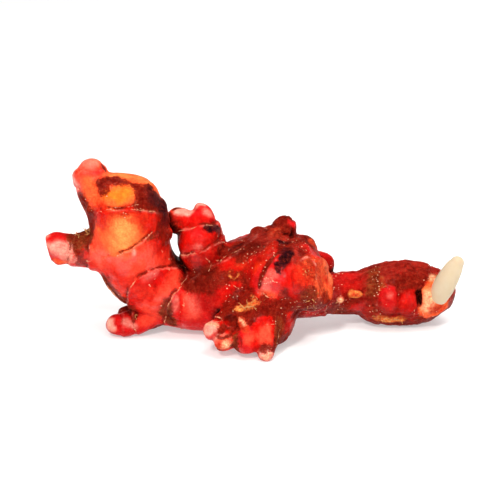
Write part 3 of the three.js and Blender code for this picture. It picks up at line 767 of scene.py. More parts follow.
    ("red", 0.7, 1.4, 2.6, [(13, -15, 13.6), (12.4, -15.4, 10)]),
    ("pale", 0.9, 0.9, 2.8, [(4.4, -23.4, 2.6)]),
    ("cream", 0.35, 0.7, 1.2, [(5.4, -24, 3.2), (3.4, -24, 1.8)]),
    ("maroon", 0.8, 1, 2, [(3.4, -21.6, 5), (6.4, -20.6, 4.6)]),
    ("gold", 0.85, 0.7, 1.1, [(-6.2, -13.4, 16), (-3.6, -14.6, 17.2), (-1.4, -15.2, 18.6)]),
    ("gold", 0.8, 0.6, 0.9, [(-1.6, -14, 21.2), (0.8, -15.8, 19.6)]),
    # Right finger: dark red neck, grey-brown bark band, striped sheath, two nodules in the tear.
    ("wine", 0.85, 2, 13, [(28, 10, 13), (44, 12, 12)]),
    ("maroon", 0.65, 2, 4.4, [(30, 3, 15), (34, 4, 12)]),
    ("maroon", 0.8, 2, 4, [(30, 3, 8), (38, 6, 5), (44, 6, 4)]),
    ("crimson", 0.4, 1.6, 3, [(30, 8, 19.6), (36, 9, 19), (41, 9, 19.6)]),
    ("red", 0.6, 1.4, 3, [(36, 6, 17.4), (40.6, 5.6, 17.4)]),
    ("red", 0.6, 1.4, 2.8, [(37, 3.6, 9.4), (40.6, 3.4, 8.6)]),
    ("wine", 0.7, 2, 5, [(30, 5, 17), (41, 6, 16)]),
    ("maroon", 0.55, 1.2, 2.4, [(35, 4, 12.4), (41.6, 3, 13)]),
    ("bark", 0.6, 1.6, 2.6, [(30.6, 4.4, 8), (31.6, 5, 6.4)]),
    ("sheath", 0.85, 1.4, 14, [(50, 13, 12), (70, 12, 14)]),
    ("maroon", 0.8, 2, 3.4, [(58, 4, 18.6), (52, 4, 18.8)]),
    ("maroon", 0.6, 2.4, 4, [(58, 7, 22), (63.5, 6, 20)]),
    ("maroon", 0.85, 1.8, 4, [(52, 4, 4), (60, 5, 3), (68, 7, 5), (74, 11, 9)]),
    ("bark", 0.75, 1.6, 3, [(43.6, 9, 21), (43.2, 5, 18.8), (42.8, 3.6, 16)]),
    ("bark", 0.6, 1.2, 1.5, [(44, 3.4, 14), (43.8, 3, 9)]),
    ("gold", 1, 0.4, 1.6, [(35.4, 2.9, 15.1), (38.4, 2.9, 14.5)]),
    ("flesh", 0.9, 0.4, 0.8, [(35.8, 2.9, 14.9), (38, 2.9, 14.5)]),
    ("cream", 0.8, 0.7, 0.9, [(31.2, 2.2, 13.2)]),
    ("gold", 0.4, 0.8, 0.8, [(46.4, 6, 20), (46.4, 3.6, 17.4)]),
    ("crimson", 1, 1, 4.2, [(48.7, 0.6, 14.6)]),
    ("wine", 0.4, 1.2, 5, [(48.7, 0.6, 12.4)]),
    ("pale", 0.2, 0.7, 1.4, [(49, -0.4, 16)]),
    ("red", 1, 1, 4.2, [(55.4, 0.6, 13)]),
    ("wine", 0.45, 1.2, 5, [(55.4, 0.6, 12.4)]),
    ("wine", 0.8, 0.9, 2.4, [(50, 2, 8.4), (57, 2, 7)]),
    # Painted shade in the hollow between the nodules and the collar.
    ("deep", 1, 0.8, 0.9, [(60.6, 3, 17), (59.9, 2.6, 14.6), (60.4, 3, 11.6)]),
    ("deep", 0.8, 0.6, 1.2, [(59.8, 2.6, 14.4), (60, 3, 13)]),
    ("maroon", 0.5, 0.8, 0.6, [(52.2, 1.6, 15), (52.1, 2.2, 10)]),
    ("gold", 0.9, 0.8, 1.7, [(46, 3.6, 5.6), (49.4, 3.4, 4.4), (53.6, 3.4, 4.4)]),
    ("orange", 1, 0.6, 5.6, [(66, 4, 15), (65.4, 4, 10.6)]),
    ("cream", 0.9, 1.2, 2.6, [(64, 3, 14.6), (63.6, 2.6, 11)]),
    ("flesh", 0.8, 1, 2, [(64.6, 3, 9.6), (68, 4, 9.8)]),
    ("cream", 0.8, 0.8, 1.6, [(65, 6.4, 20.2), (67.6, 6.4, 19.8)]),
    ("flesh", 0.6, 0.8, 1.4, [(66.4, 3.2, 10.4), (69, 4, 13)]),
    # Back stump: maroon bark down to a pink snapped face.
    ("maroon", 0.7, 2, 8, [(-2, 22, 9)]),
    ("pale", 0.9, 1.2, 6, [(-2, 31.5, 7)]),
]


def growth_coordinates(points):
    """Place along the nearest finger's line with the offset from it, for marks that run lengthwise, and the
    number of that finger."""
    best = np.full(len(points), 1e6, np.float32)
    place = np.zeros((len(points), 3), np.float32)
    owner = np.zeros(len(points), int)
    for number, name in enumerate(FINGERS):
        line = finger_line(name).astype(np.float32)
        box = (points > (line[:, :3] - line[:, 3:]).min(0) - 3).all(1)
        box &= (points < (line[:, :3] + line[:, 3:]).max(0) + 3).all(1)
        chosen = np.flatnonzero(box)
        start = 7.0 * number
        for a, b in zip(line[:-1], line[1:]):
            along = b[:3] - a[:3]
            length = float(np.linalg.norm(along))
            away = points[chosen] - a[:3]
            t = np.clip(away @ along / max(length * length, 1e-9), 0, 1)
            gap = away - t[:, None] * along
            distance = np.linalg.norm(gap, axis=1) - (a[3] + t * (b[3] - a[3]))
            closer = distance < best[chosen]
            target = chosen[closer]
            best[target] = distance[closer]
            owner[target] = number
            side = unit(np.cross(along, (0.12, 1.0, 0.31)))
            place[target, 0] = start + t[closer] * length
            place[target, 1] = gap[closer] @ side
            place[target, 2] = gap[closer] @ np.cross(side, along / length)
            start += length
    return place, owner


def lengthwise(place, size, stretch, seed):
    """Noise drawn out along the fingers."""
    return noise(place / np.array([stretch, 1.0, 1.0], np.float32), size, seed)


def drape(points):
    """Fine folds of dry sheath that run down over the crown from its top bud."""
    away = points - np.array((11.0, 8.0, 41.0), np.float32)
    reach = np.linalg.norm(away, axis=1)
    turn = np.arctan2(away[:, 2], away[:, 0])
    spun = np.column_stack([22 * turn, 0.12 * reach, 0.15 * away[:, 1]]).astype(np.float32)
    return noise(spun, 1.7, 84) + 0.6 * noise(spun, 0.8, 85)


def shelter(field, points, normals):
    """How deep in a crevice each point lies, from 0 in the open to 1."""
    total = 0
    for reach, weight in ((0.9, 0.25), (2.0, 0.35), (4.5, 0.4)):
        total = total + weight * np.clip(1 - field.sample(points + normals * reach) / reach, 0, 1)
    return total


def lay(shares, where, tissue, cover):
    """Covers what lies at some points with a tissue."""
    shares[where] *= (1 - cover)[:, None]
    shares[where, TISSUES.index(tissue)] += cover


def paint(points, owner):
    """Share of each tissue at each point: every patch covers what lies under it."""
    shares = np.zeros((len(points), len(TISSUES)), np.float32)
    shares[:, 0] = 1
    broad = noise(points, 17, 61) + 0.5 * noise(points, 7, 62)
    lay(shares, slice(None), "salmon", 0.8 * smoothstep(0.2, 0.9, broad))
    lay(shares, slice(None), "maroon", 0.8 * smoothstep(-0.15, -0.8, broad))
    ragged = 0.7 * noise(points, 4.5, 41) + 0.5 * noise(points, 1.9, 42) + 0.35 * noise(points, 0.9, 43)
    for tissue, strength, soft, radius, path, *limit in PATCHES:
        path = np.array(path, float)
        centre = (path.max(0) + path.min(0)) / 2
        reach = (path.max(0) - path.min(0)) / 2 + radius + 2 * soft + 2
        near = (np.abs(points - centre) < reach).all(1)
        if not near.any():
            continue
        place = points[near]
        if len(path) == 1:
            distance = np.linalg.norm(place - path[0], axis=1) - radius
        else:
            line = np.column_stack([path, np.full(len(path), radius)])
            distance = line_distance(place, line if len(line) == 2 else catmull_rom(line, 3))
        cover = strength * smoothstep(soft, -soft, distance + ragged[near] * min(1.3, 0.45 * radius))
        for ring, side in limit:
            cover = cover * smoothstep(-0.25, 0.25, side * ring_offset(place, ring))
        lay(shares, near, tissue, cover)

    # Each ring leaves a pale worn edge and a dark maroon line just past it, at the foot of its step, fainter
    # where its lip is low.
    broken = smoothstep(-0.7, 0.2, noise(points, 3.2, 44) + 0.4 * noise(points, 1.3, 45))
    for name, (finger, *_, lip) in RINGS.items():
        if not lip:
            continue
        worn = broken * min(1.0, 2 * lip)
        near = np.flatnonzero(owner == list(FINGERS).index(finger))
        u = ring_offset(points[near], name)
        for tissue, centre, width, strength in (("maroon", 0.55, 0.55, 0.8), ("pale", -0.2, 0.22, 0.3)):
            band = strength * worn[near] * np.exp(-(((u - centre) / width) ** 2))
            lay(shares, near, tissue, band * ring_presence(points[near], name))
    return shares


# ---------------------------------------------------------------------------------------------------------
# Meshes and materials
# ---------------------------------------------------------------------------------------------------------


def to_part(points):
    """From millimetres of the growth frame to metres of the part frame."""
    return (np.asarray(points) + GROWTH_TO_PART) * MM


def link_piece(name, mesh):
    """Puts a mesh into the scene as an object of its own, at the origin."""
    piece = bpy.data.objects.new(name, mesh)
    bpy.context.collection.objects.link(piece)
    return piece


def add_piece(name, vertices, faces, material):
    """A smooth object whose place is in its mesh; vertices are in the growth frame."""
    mesh = bpy.data.meshes.new(name)
    mesh.from_pydata(to_part(vertices).tolist(), [], faces)
    mesh.materials.append(material)
    mesh.polygons.foreach_set("use_smooth", [True] * len(mesh.polygons))
    mesh.update()
    return link_piece(name, mesh)


def tube_faces(rows, around):
    """The sides of a tube of rows of points, each row going once around."""
    faces = []
    for start in range(0, (rows - 1) * around, around):
        for j in range(around):
            k = (j + 1) % around
            faces.append((start + j, start + k, start + around + k, start + around + j))
    return faces


def store(mesh, name, kind, values):
    """Keeps a number, a vector or a colour for every point of a mesh."""
    layer = mesh.attributes.new(name, kind, "POINT")
    key = {"FLOAT": "value", "FLOAT_VECTOR": "vector", "FLOAT_COLOR": "color"}[kind]
    layer.data.foreach_set(key, np.ascontiguousarray(values, np.float32).ravel())


def linear(hex_colour):
    """An sRGB hex colour as linear red, green, blue and alpha."""
    channels = [int(hex_colour[i : i + 2], 16) / 255 for i in (1, 3, 5)]
    return tuple(c / 12.92 if c <= 0.04045 else ((c + 0.055) / 1.055) ** 2.4 for c in channels) + (1.0,)


def colour_of(name):
    """A colour as it is set in the panel."""
    return tuple(getattr(bpy.context.scene.ginger_colours, name))


def add_node(tree, kind, settings=None, inputs=None):
    """Adds a node; an input is a value, or the output socket of another node to link from."""
    node = tree.nodes.new(kind)
    for key, value in (settings or {}).items():
        setattr(node, key, value)
    for key, value in (inputs or {}).items():
        if isinstance(value, bpy.types.NodeSocket):
            tree.links.new(value, node.inputs[key])
        else:
            node.inputs[key].default_value = value
    return node


def maths(tree, operation, *numbers):
    """Works out one number from others."""
    return add_node(tree, "ShaderNodeMath", {"operation": operation}, dict(enumerate(numbers))).outputs[0]


def remap(tree, value, low, high, to_low=0.0, to_high=1.0):
    """Carries a number from one range to another and holds it there."""
    return add_node(tree, "ShaderNodeMapRange", {}, {
        "Value": value, "From Min": low, "From Max": high, "To Min": to_low, "To Max": to_high}).outputs[0]


def mix(tree, share, first, second):
    """Mixes two numbers; a share of 1 is all of the second."""
    return add_node(tree, "ShaderNodeMix", {"data_type": "FLOAT"}, {0: share, 2: first, 3: second}).outputs[0]


def mix_colours(tree, share, first, second):
    """Mixes two colours; a share of 1 is all of the second."""
    return add_node(tree, "ShaderNodeMix", {"data_type": "RGBA"}, {0: share, 6: first, 7: second}).outputs[2]


def scaled(tree, colour, amount):
    """A colour made brighter or darker."""
    return add_node(tree, "ShaderNodeVectorMath", {"operation": "SCALE"}, {
        0: colour, "Scale": amount}).outputs[0]


def total(tree, kind, sockets):
    """The sum of numbers or of colours."""
    running, *others = sockets
    for socket in others:
        running = add_node(tree, kind, {"operation": "ADD"}, {0: running, 1: socket}).outputs[0]
    return running


def grain(tree, place, scale, detail, coarseness=0.5, bend=0.0):
    """Noise from 0 to 1, with about as many lumps to the metre as its scale."""
    return add_node(tree, "ShaderNodeTexNoise", {}, {
        "Vector": place, "Scale": scale, "Detail": detail, "Roughness": coarseness,
        "Distortion": bend}).outputs["Fac"]


def stored(tree, name):
    """A number that the mesh keeps at each of its points."""
    return add_node(tree, "ShaderNodeAttribute", {"attribute_name": name}).outputs["Fac"]


def bumped(tree, height, strength, distance, **under):
    """A relief that is seen in the shading only."""
    return add_node(tree, "ShaderNodeBump", {}, {
        "Height": height, "Strength": strength, "Distance": distance, **under}).outputs["Normal"]


def new_material(name):
    """An empty material, with its tree and the place of each point on the object."""
    material = bpy.data.materials.new(name)
    material.use_nodes = True
    tree = material.node_tree
    tree.nodes.clear()
    return material, tree, add_node(tree, "ShaderNodeTexCoord").outputs["Object"]


# Every colour, as an sRGB hex value, and what it colours.
COLOURS = {
    "red": ("#C80C06", "Ripe red skin"),
    "crimson": ("#C8161A", "Wet crimson skin"),
    "salmon": ("#F04D34", "Young salmon skin"),
    "orange": ("#F26734", "Orange skin over pale flesh"),
    # Partly the pale flesh under thin skin, partly painted glow: light shining through it, laid into the
    # colour.
    "glow": ("#F6A656", "Flesh glowing through thin skin"),
    "maroon": ("#7A180B", "Dry maroon scale"),
    "black": ("#2A0A14", "Bruised blackish skin"),
    "bark": ("#80361A", "Brown cork"),
    "pale": ("#E8A08C", "Worn pink flesh"),
    "flesh": ("#CC4A28", "Broken flesh"),
    "gold": ("#E59048", "Golden torn fibre"),
    # Painted shade, partly soil: the near-black that is laid into crevices, grooves and gaps.
    "deep": ("#2C0702", "Soil in the crevices"),
    "cream": ("#F7C795", "Cream flesh of the collar"),
    "amber": ("#F57A20", "Amber skin of the cap"),
    "sheath": ("#90261B", "Dusty sheath"),
    "wine": ("#9C110C", "Wine-red shrunken skin"),
    "dust": ("#A4442A", "Dry dust on the grains of old skin"),
    "paper_dark": ("#B8402A", "Paper scales, darker fibres"),
    "paper_light": ("#F2B98A", "Paper scales, lighter fibres"),
    "flake_dark": ("#D06A48", "Loose flakes, stained"),
    "flake_light": ("#F7D2AE", "Loose flakes, clean"),
    "fibre_dark": ("#8E4420", "Torn fibres, at the root"),
    "fibre_light": ("#EDB066", "Torn fibres, frayed ends"),
    "shoot_dark": ("#BDA888", "Shoot, deeper ivory"),
    "shoot_light": ("#CBBCA2", "Shoot, lighter ivory"),
    "board_dark": ("#D2D2D2", "Stage board, grain"),
    "board_light": ("#D5D5D5", "Stage board"),
}

# The kinds that darken the skin, and how rough each kind is.
DARK_TISSUES = ("maroon", "black", "bark", "deep")
SKIN_ROUGHNESS = {
    "red": 0.34, "crimson": 0.28, "salmon": 0.36, "orange": 0.40, "glow": 0.42, "maroon": 0.46, "black": 0.42,
    "bark": 0.75, "pale": 0.42, "flesh": 0.62, "gold": 0.70, "deep": 0.60, "cream": 0.55, "amber": 0.40,
    "sheath": 0.50, "wine": 0.40,
}

# How old each kind of tissue is, up to 1; a kind that isn't named is young.
SKIN_AGE = {
    "bark": 1.0, "maroon": 0.7, "black": 0.7, "sheath": 0.7, "flesh": 0.5, "gold": 0.4, "deep": 0.4,
    "wine": 0.35, "red": 0.25, "cream": 0.25, "crimson": 0.12,
}


def skin_material():
    """Living ginger skin: a thin waxy red film over moist flesh, which lets the light glow through where it
    is young, and dulls to dry cork where it is old."""
    material, tree, place = new_material("ginger_skin_waxy_film_over_flesh")
    shares = {}
    for n in range(4):
        attribute = add_node(tree, "ShaderNodeAttribute", {"attribute_name": f"tissue_{n}"})
        split = add_node(tree, "ShaderNodeSeparateColor", {}, {"Color": attribute.outputs["Color"]})
        shares.update(zip(TISSUES[4 * n : 4 * n + 4], [*split.outputs, attribute.outputs["Alpha"]]))

    # Colour: every tissue's own colour in proportion to its share. The pale kinds and the dark kinds are
    # summed apart, so that they meet in a ragged line of fine specks.
    amounts, colours = [], []
    for kinds in ([t for t in TISSUES if t not in DARK_TISSUES], DARK_TISSUES):
        amounts.append(total(tree, "ShaderNodeMath", [shares[t] for t in kinds]))
        parts = [scaled(tree, colour_of(t)[:3], shares[t]) for t in kinds]
        inverse = maths(tree, "DIVIDE", 1.0, maths(tree, "MAXIMUM", amounts[-1], 0.03))
        colours.append(scaled(tree, total(tree, "ShaderNodeVectorMath", parts), inverse))
    specks = remap(tree, grain(tree, place, 1150.0, 4.0, 0.6), 0.3, 0.7, -0.32, 0.32)
    crisp = remap(tree, maths(tree, "ADD", amounts[1], specks), 0.36, 0.64)
    colour = mix_colours(tree, mix(tree, 0.7, amounts[1], crisp), *colours)
    roughness = total(tree, "ShaderNodeMath", [
        maths(tree, "MULTIPLY", shares[t], SKIN_ROUGHNESS[t]) for t in TISSUES])

    # Mottle: blotches of 2 mm and freckles under half a millimetre, strong on old skin and faint on young.
    age = stored(tree, "age")
    mottle = grain(tree, place, 480.0, 8.0, 0.75)
    depth = remap(tree, age, 0.0, 1.0, 0.2, 0.55)
    swing = maths(tree, "MULTIPLY", remap(tree, mottle, 0.34, 0.66, -1.0, 1.0), depth)
    # The stored tone also carries the painted shade of the crevices.
    shade = maths(tree, "MULTIPLY", maths(tree, "ADD", swing, 0.86), stored(tree, "tone"))

    # The pigment that makes it darker takes the green and the blue first, and lies in fine grains.
    fine = grain(tree, place, 1500.0, 4.0, 0.6)
    speckle = mix(tree, remap(tree, age, 0.0, 0.3, 0.25, 1.0), 0.92, remap(tree, fine, 0.34, 0.66, 0.3, 1.3))
    bright = maths(tree, "POWER", shade, 0.75)
    pure = maths(tree, "MULTIPLY", maths(tree, "POWER", shade, 1.5), speckle)
    shades = add_node(tree, "ShaderNodeCombineXYZ", {}, {0: bright, 1: pure, 2: pure}).outputs[0]
    colour = add_node(tree, "ShaderNodeVectorMath", {"operation": "MULTIPLY"}, {
        0: colour, 1: shades}).outputs[0]

    # Veins: fine pale cracks in the film, where the flesh shows through.
    crack = maths(tree, "ABSOLUTE", maths(tree, "SUBTRACT", grain(tree, place, 420.0, 5.0, 0.62, 0.8), 0.5))
    colour = mix_colours(tree, remap(tree, crack, 0.0, 0.013, 0.3, 0.0), colour, colour_of("salmon"))

    # Bloom: a dusting of pale dry cells on the high grains of old skin.
    bloom = maths(tree, "MULTIPLY", remap(tree, fine, 0.56, 0.72, 0.0, 0.25), age)
    colour = mix_colours(tree, bloom, colour, colour_of("dust"))

    # Relief: cork grains and wrinkles on old skin, a fine shagreen on young. The wet film gathers in beads,
    # so its highlights break up into sparkles.
    wrinkles = bumped(tree, maths(tree, "MULTIPLY", mottle, age), 0.8, 0.0022)
    relief = bumped(tree, fine, 0.5, 0.0004, Normal=wrinkles)
    film = bumped(tree, grain(tree, place, 1000.0, 2.0), 0.75, 0.0006)
    shader = add_node(tree, "ShaderNodeBsdfPrincipled", {"subsurface_method": "RANDOM_WALK"}, {
        "Base Color": colour,
        "Roughness": roughness,
        "Normal": relief,
        "Subsurface Weight": 0.12,
        "Subsurface Radius": (1.0, 0.22, 0.1),
        "Subsurface Scale": 0.001,
        "IOR": 1.40,
        "Specular IOR Level": 0.09,
        "Specular Tint": (1.0, 0.5, 0.4, 1.0),
        "Coat Weight": remap(tree, stored(tree, "wet"), 0.0, 1.0, 0.0, 0.85),
        "Coat Roughness": 0.09,
        "Coat Normal": film,
    })
    add_node(tree, "ShaderNodeOutputMaterial", {}, {"Surface": shader.outputs[0]})
    return material


def grained_material(name, scale, detail, dark, light, **settings):
    """Two tones of one stuff, mixed by a fine grain."""
    material, tree, place = new_material(name)
    colour = mix_colours(tree, grain(tree, place, scale, detail), colour_of(dark), colour_of(light))
    shader = add_node(tree, "ShaderNodeBsdfPrincipled", {}, {
        "Base Color": colour, **{label.replace("_", " "): value for label, value in settings.items()}})
    add_node(tree, "ShaderNodeOutputMaterial", {}, {"Surface": shader.outputs[0]})
    return material


def shoot_material():
    """Young shoot: smooth ivory flesh under a thin clear skin, into which the light sinks a little way."""
    return grained_material("young_shoot_smooth_ivory_flesh", 220.0, 3.0, "shoot_dark", "shoot_light",
                            Roughness=0.42, Subsurface_Weight=0.3, Subsurface_Radius=(1.0, 0.6, 0.3),
                            Subsurface_Scale=0.002, IOR=1.4)


def papery_material():
    """Dry scale leaf: thin straw-coloured paper, matt, redder where it is still attached."""
    return grained_material("dry_scale_leaf_straw_paper", 500.0, 4.0, "paper_dark", "paper_light",
                            Roughness=0.65)


def fleck_material():
    """Loose flakes of dead skin and grit: chalky cream specks that catch the light, thickest on wet patches,
    where they are painted glints.
    """
    return grained_material("dead_skin_flakes_chalky_cream", 130.0, 2.0, "flake_dark", "flake_light",
                            Roughness=0.55)


def fibre_material():
    """Torn root fibre: dry, golden brown, paler at the frayed ends."""
    return grained_material("torn_root_fibre_golden_brown", 350.0, 3.0, "fibre_dark", "fibre_light",
                            Roughness=0.6)


def stage_material():
    """Matt white translucent board, lit from below so that shadows stay light."""
    return grained_material("stage_translucent_white_board", 60.0, 2.0, "board_dark", "board_light",
                            Roughness=0.9, Emission_Color=(1.0, 1.0, 1.0, 1.0), Emission_Strength=0.36)


# ---------------------------------------------------------------------------------------------------------
# Scales, flecks and fibres: what repeats along a line or over the skin
# ---------------------------------------------------------------------------------------------------------

# The rings whose edges are frayed.
FRINGED_RINGS = ["left_top", "left_high", "left_mid", "left_low", "second_low", "second_high", "right_bark",
                 "right_base", "stub_neck", "low_bud_band", "front_outer", "back_left", "stump_ring"]

# Torn edges: a line over the skin and the way the paper leans.
TORN_EDGES = [
    ([(61.6, 3, 19.6), (61.8, 2, 16.6), (61, 1.4, 13.6), (61, 2, 10.4), (62, 3.4, 7.4)], (-0.8, -0.5, 0)),
    ([(62.5, 5, 20.4), (65.5, 6, 21.4), (68, 7, 21)], (0.3, -0.6, 0.6)),
    ([(21.2, -6, 33.6), (21, -11, 31.2), (21.8, -14.4, 27), (22.4, -14.8, 23), (23.2, -13, 19)],
     (0.4, -0.8, 0.2)),
    ([(20, -5, 34), (23.4, -1.6, 33), (27, 0.4, 29.6), (28.4, 1, 25), (28.2, -1, 21), (26.4, -6, 18)],
     (0.7, 0.1, 0.4)),
    ([(-62.6, -3, 65), (-62.8, -5, 61), (-61.6, -6.6, 58)], (-0.6, -0.6, 0.4)),
    ([(-23.4, 6.6, 44.2), (-21.4, 8.6, 47.2), (-18.2, 9.2, 48)], (-0.5, -0.4, 0.7)),
    ([(-17.2, -3.2, 31.4), (-15.6, -2.4, 29), (-16.4, -3.2, 26.6)], (0.5, -0.7, 0)),
    ([(-5.4, -16.6, 14.4), (-3.6, -18.8, 13), (-2.2, -20.8, 11.4)], (0.2, -0.7, 0.6)),
    ([(-17, -17.6, 13), (-13.8, -17.2, 13.4), (-10.6, -17, 12.8)], (0, -0.5, 0.8)),
    ([(-9.4, -20.4, 9.4), (-8.4, -21.4, 7.6)], (0.3, -0.8, 0.3)),
    ([(-13.6, -19.8, 8.4), (-11.2, -21.2, 8.2), (-8.8, -21.4, 8.8)], (0, -0.6, 0.7)),
    ([(0.8, -18.6, 13.6), (2.8, -19.6, 13.2), (5.4, -19.6, 13), (7.6, -18.4, 12.4)], (0, -0.5, 0.8)),
    ([(9.6, -16.8, 13.4), (9.8, -18, 10.4), (8.6, -19.4, 7.4)], (0.7, -0.6, 0)),
    ([(11.6, -15.6, 17.8), (15.6, -15.2, 17.2), (20, -13.6, 17.6)], (0, -0.6, -0.7)),
    ([(-40.6, -9.4, 53.6), (-44.6, -10.4, 52.8), (-48.4, -10.2, 52.6)], (0, -0.7, 0.5)),
    ([(-7.4, -9.4, 23.4), (-4.6, -10.6, 22.2), (-2, -12, 23)], (0, -0.6, -0.7)),
    ([(1, -14.2, 23.6), (5, -15.8, 21.6), (9.4, -16.8, 20.6)], (0, -0.7, -0.6)),
    ([(-53.4, -3.6, 22.8), (-50.6, -2.6, 18.4), (-47.4, -2, 14.6)], (-0.6, -0.2, -0.7)),
    ([(-13.6, -2.6, 30.6), (-9.6, -1.4, 32.6), (-5, -0.6, 34.4)], (0, -0.5, 0.8)),
]

# Tufts of torn fibre: how many, their spread, their length, the middle and the way they lean.
TUFTS = [
    (9, (1.8, 0.8, 1), 2.6, (-3.4, -14.5, 17.6), (0.9, -0.4, 0.5)),
    (7, (0.9, 0.8, 1), 2, (0, -15.4, 20.2), (0.2, -0.5, 0.6)),
    (14, (3, 0.8, 0.7), 2, (48, 3.6, 5), (0.9, -0.5, 0.5)),
    (8, (1.4, 1, 0.8), 2.2, (-59.6, -1.8, 40.8), (-0.3, -0.3, 0.7)),
    (6, (1, 1, 1.2), 2, (45.4, 3.6, 17.4), (0.2, -0.7, 0.2)),
    (5, (0.9, 0.9, 0.9), 2, (66.4, 6.4, 21), (0.4, -0.4, 0.6)),
    (5, (0.8, 0.8, 0.8), 1.8, (17.6, -14.8, 30.6), (-0.2, -0.8, 0.3)),
    (4, (0.5, 0.5, 0.5), 1.3, (31.2, 2.4, 12.6), (-0.3, -0.8, 0.3)),
    (4, (0.6, 0.6, 0.6), 1.6, (-42.6, -2.4, 8.6), (0, -0.6, 0.7)),
    (5, (1.2, 0.8, 0.8), 1.8, (20.4, -14, 19.4), (0.4, -0.6, -0.4)),
    (6, (2, 1, 1), 2.4, (-18, 20, 8), (0, 0.8, -0.2)),
    (5, (1, 1, 1), 2.2, (40, 21, 9), (0, 0.9, 0.1)),
]

# The step between the points of a line that a fringe stands on, in millimetres, and the number of points that
# is too few for a fringe.
LINE_STEP = 0.35
SHORTEST_RUN = 6


def ring_runs(field, name):
    """Where a ring comes to the surface: lines of points on the skin, and the way its paper edge leans."""
    finger, place, towards, _, _ = RINGS[name]
    n = unit(towards)
    line = finger_line(finger)
    centre = line[np.argmin(np.abs((line[:, :3] - np.array(place)) @ n))]
    side = unit(np.cross(n, (0, 1, 0) if abs(n[1]) < 0.8 else (1, 0, 0)))
    across = np.cross(n, side)
    turns = np.linspace(0, 2 * math.pi, int(2 * math.pi * centre[3] / LINE_STEP), endpoint=False)
    out = np.arange(0.3 * centre[3], centre[3] + 4.5, 0.25)
    direction = np.cos(turns)[:, None] * side + np.sin(turns)[:, None] * across
    spots = centre[:3] + direction[:, None, :] * out[None, :, None]
    flat = spots.reshape(-1, 3)
    flat = flat - ring_offset(flat, name)[:, None] * n
    outside = field.sample(flat).reshape(len(turns), len(out)) > 0
    first = outside.argmax(1)
    good = outside.any(1) & (first > 0)
    spots = flat.reshape(len(turns), len(out), 3)[np.arange(len(turns)), first]
    spots[good] = settle(field, spots[good])
    good &= (spots[:, 2] > 0.6) & (ring_presence(spots, name) > 0.5)
    runs, start = [], None
    for i in range(len(turns) + 1):
        keep = i < len(turns) and good[i] and (start is None or np.linalg.norm(spots[i] - spots[i - 1]) < 1.6)
        if keep and start is None:
            start = i
        if not keep and start is not None:
            if i - start > SHORTEST_RUN:
                run = spots[start:i]
                runs.append((run, field.gradient(run) + 0.6 * n))
            start = None
    return runs


def scrap_object(name, vertices, faces):
    """A small shape in millimetres, for the trees to repeat."""
    mesh = bpy.data.meshes.new(name)
    mesh.from_pydata([tuple(c * MM for c in v) for v in vertices], [], faces)
    mesh.update()
    return bpy.data.objects.new(name, mesh)


def paper_scale():
    """A jagged scrap of paper about half a millimetre across, standing on its root."""
    rim = [(-0.34, -0.25), (-0.36, 0.12), (-0.16, 0.46), (-0.04, 0.30),
           (0.12, 0.62), (0.25, 0.26), (0.36, 0.30), (0.34, -0.25)]
    front = [(x, -0.05 - 0.16 * max(z, 0), z) for x, z in rim]
    back = [(x, 0.05 - 0.10 * max(z, 0), z) for x, z in rim]
    count = len(rim)
    faces = [tuple(range(count)), tuple(range(2 * count - 1, count - 1, -1))]
    faces += [(i, i + count, (i + 1) % count + count, (i + 1) % count) for i in range(count)]
    return scrap_object("paper_scale", front + back, faces)


def fleck():
    """A flat flake a third of a millimetre across."""
    turns = np.linspace(0, 2 * math.pi, 7)[:-1]
    rim = [(0.20 * math.cos(a) * (1 + 0.3 * math.sin(2.3 * a)), 0.16 * math.sin(a), 0.0) for a in turns]
    faces = [(i, (i + 1) % 6, 6) for i in range(6)] + [((i + 1) % 6, i, 7) for i in range(6)]
    return scrap_object("fleck", rim + [(0.02, 0.01, 0.11), (0.0, 0.0, -0.05)], faces)


def fibre():
    """A curled fibre one millimetre long, flat in section and tapering to its end."""
    vertices = []
    stations, around = 9, 5
    for t in np.arange(stations) / (stations - 1):
        taper = 1 - 0.75 * t
        for a in 2 * math.pi * np.arange(around) / around:
            x = 0.26 * math.sin(3.4 * t) * t + 0.13 * taper * math.cos(a)
            y = 0.14 * math.sin(5 * t + 0.6) * t + 0.06 * taper * math.sin(a)
            vertices.append((x, y, t))
    faces = tube_faces(stations, around)
    faces.append(tuple(range(around - 1, -1, -1)))
    faces.append(tuple((stations - 1) * around + j for j in range(around)))
    return scrap_object("fibre", vertices, faces)


def node_group(name, **inputs):
    """An empty geometry node tree with named inputs; returns the tree and its input sockets."""
    tree = bpy.data.node_groups.new(name, "GeometryNodeTree")
    tree.interface.new_socket("Geometry", in_out="OUTPUT", socket_type="NodeSocketGeometry")
    tree.interface.new_socket("Geometry", in_out="INPUT", socket_type="NodeSocketGeometry")
    for label, kind in inputs.items():
        tree.interface.new_socket(label, in_out="INPUT", socket_type=kind)
    return tree, tree.nodes.new("NodeGroupInput").outputs


def carried(tree, name, kind="FLOAT"):
    """A value that the seed mesh carries at each of its points."""
    return add_node(tree, "GeometryNodeInputNamedAttribute", {"data_type": kind}, {"Name": name}).outputs[0]


def between(tree, low, high, seed):
    """Random numbers between two limits."""
    return add_node(tree, "FunctionNodeRandomValue", {"data_type": "FLOAT"}, {
        "Min": low, "Max": high, "Seed": seed}).outputs[1]


def swayed(tree, rotation, limits, seed):
    """Turns each scrap about its own axes by random angles up to the limits."""
    swing = add_node(tree, "FunctionNodeRandomValue", {"data_type": "FLOAT_VECTOR"}, {
        "Min": tuple(-angle for angle in limits), "Max": limits, "Seed": seed}).outputs[0]
    return add_node(tree, "FunctionNodeRotateRotation", {"rotation_space": "LOCAL"}, {
        0: rotation, 1: swing}).outputs[0]


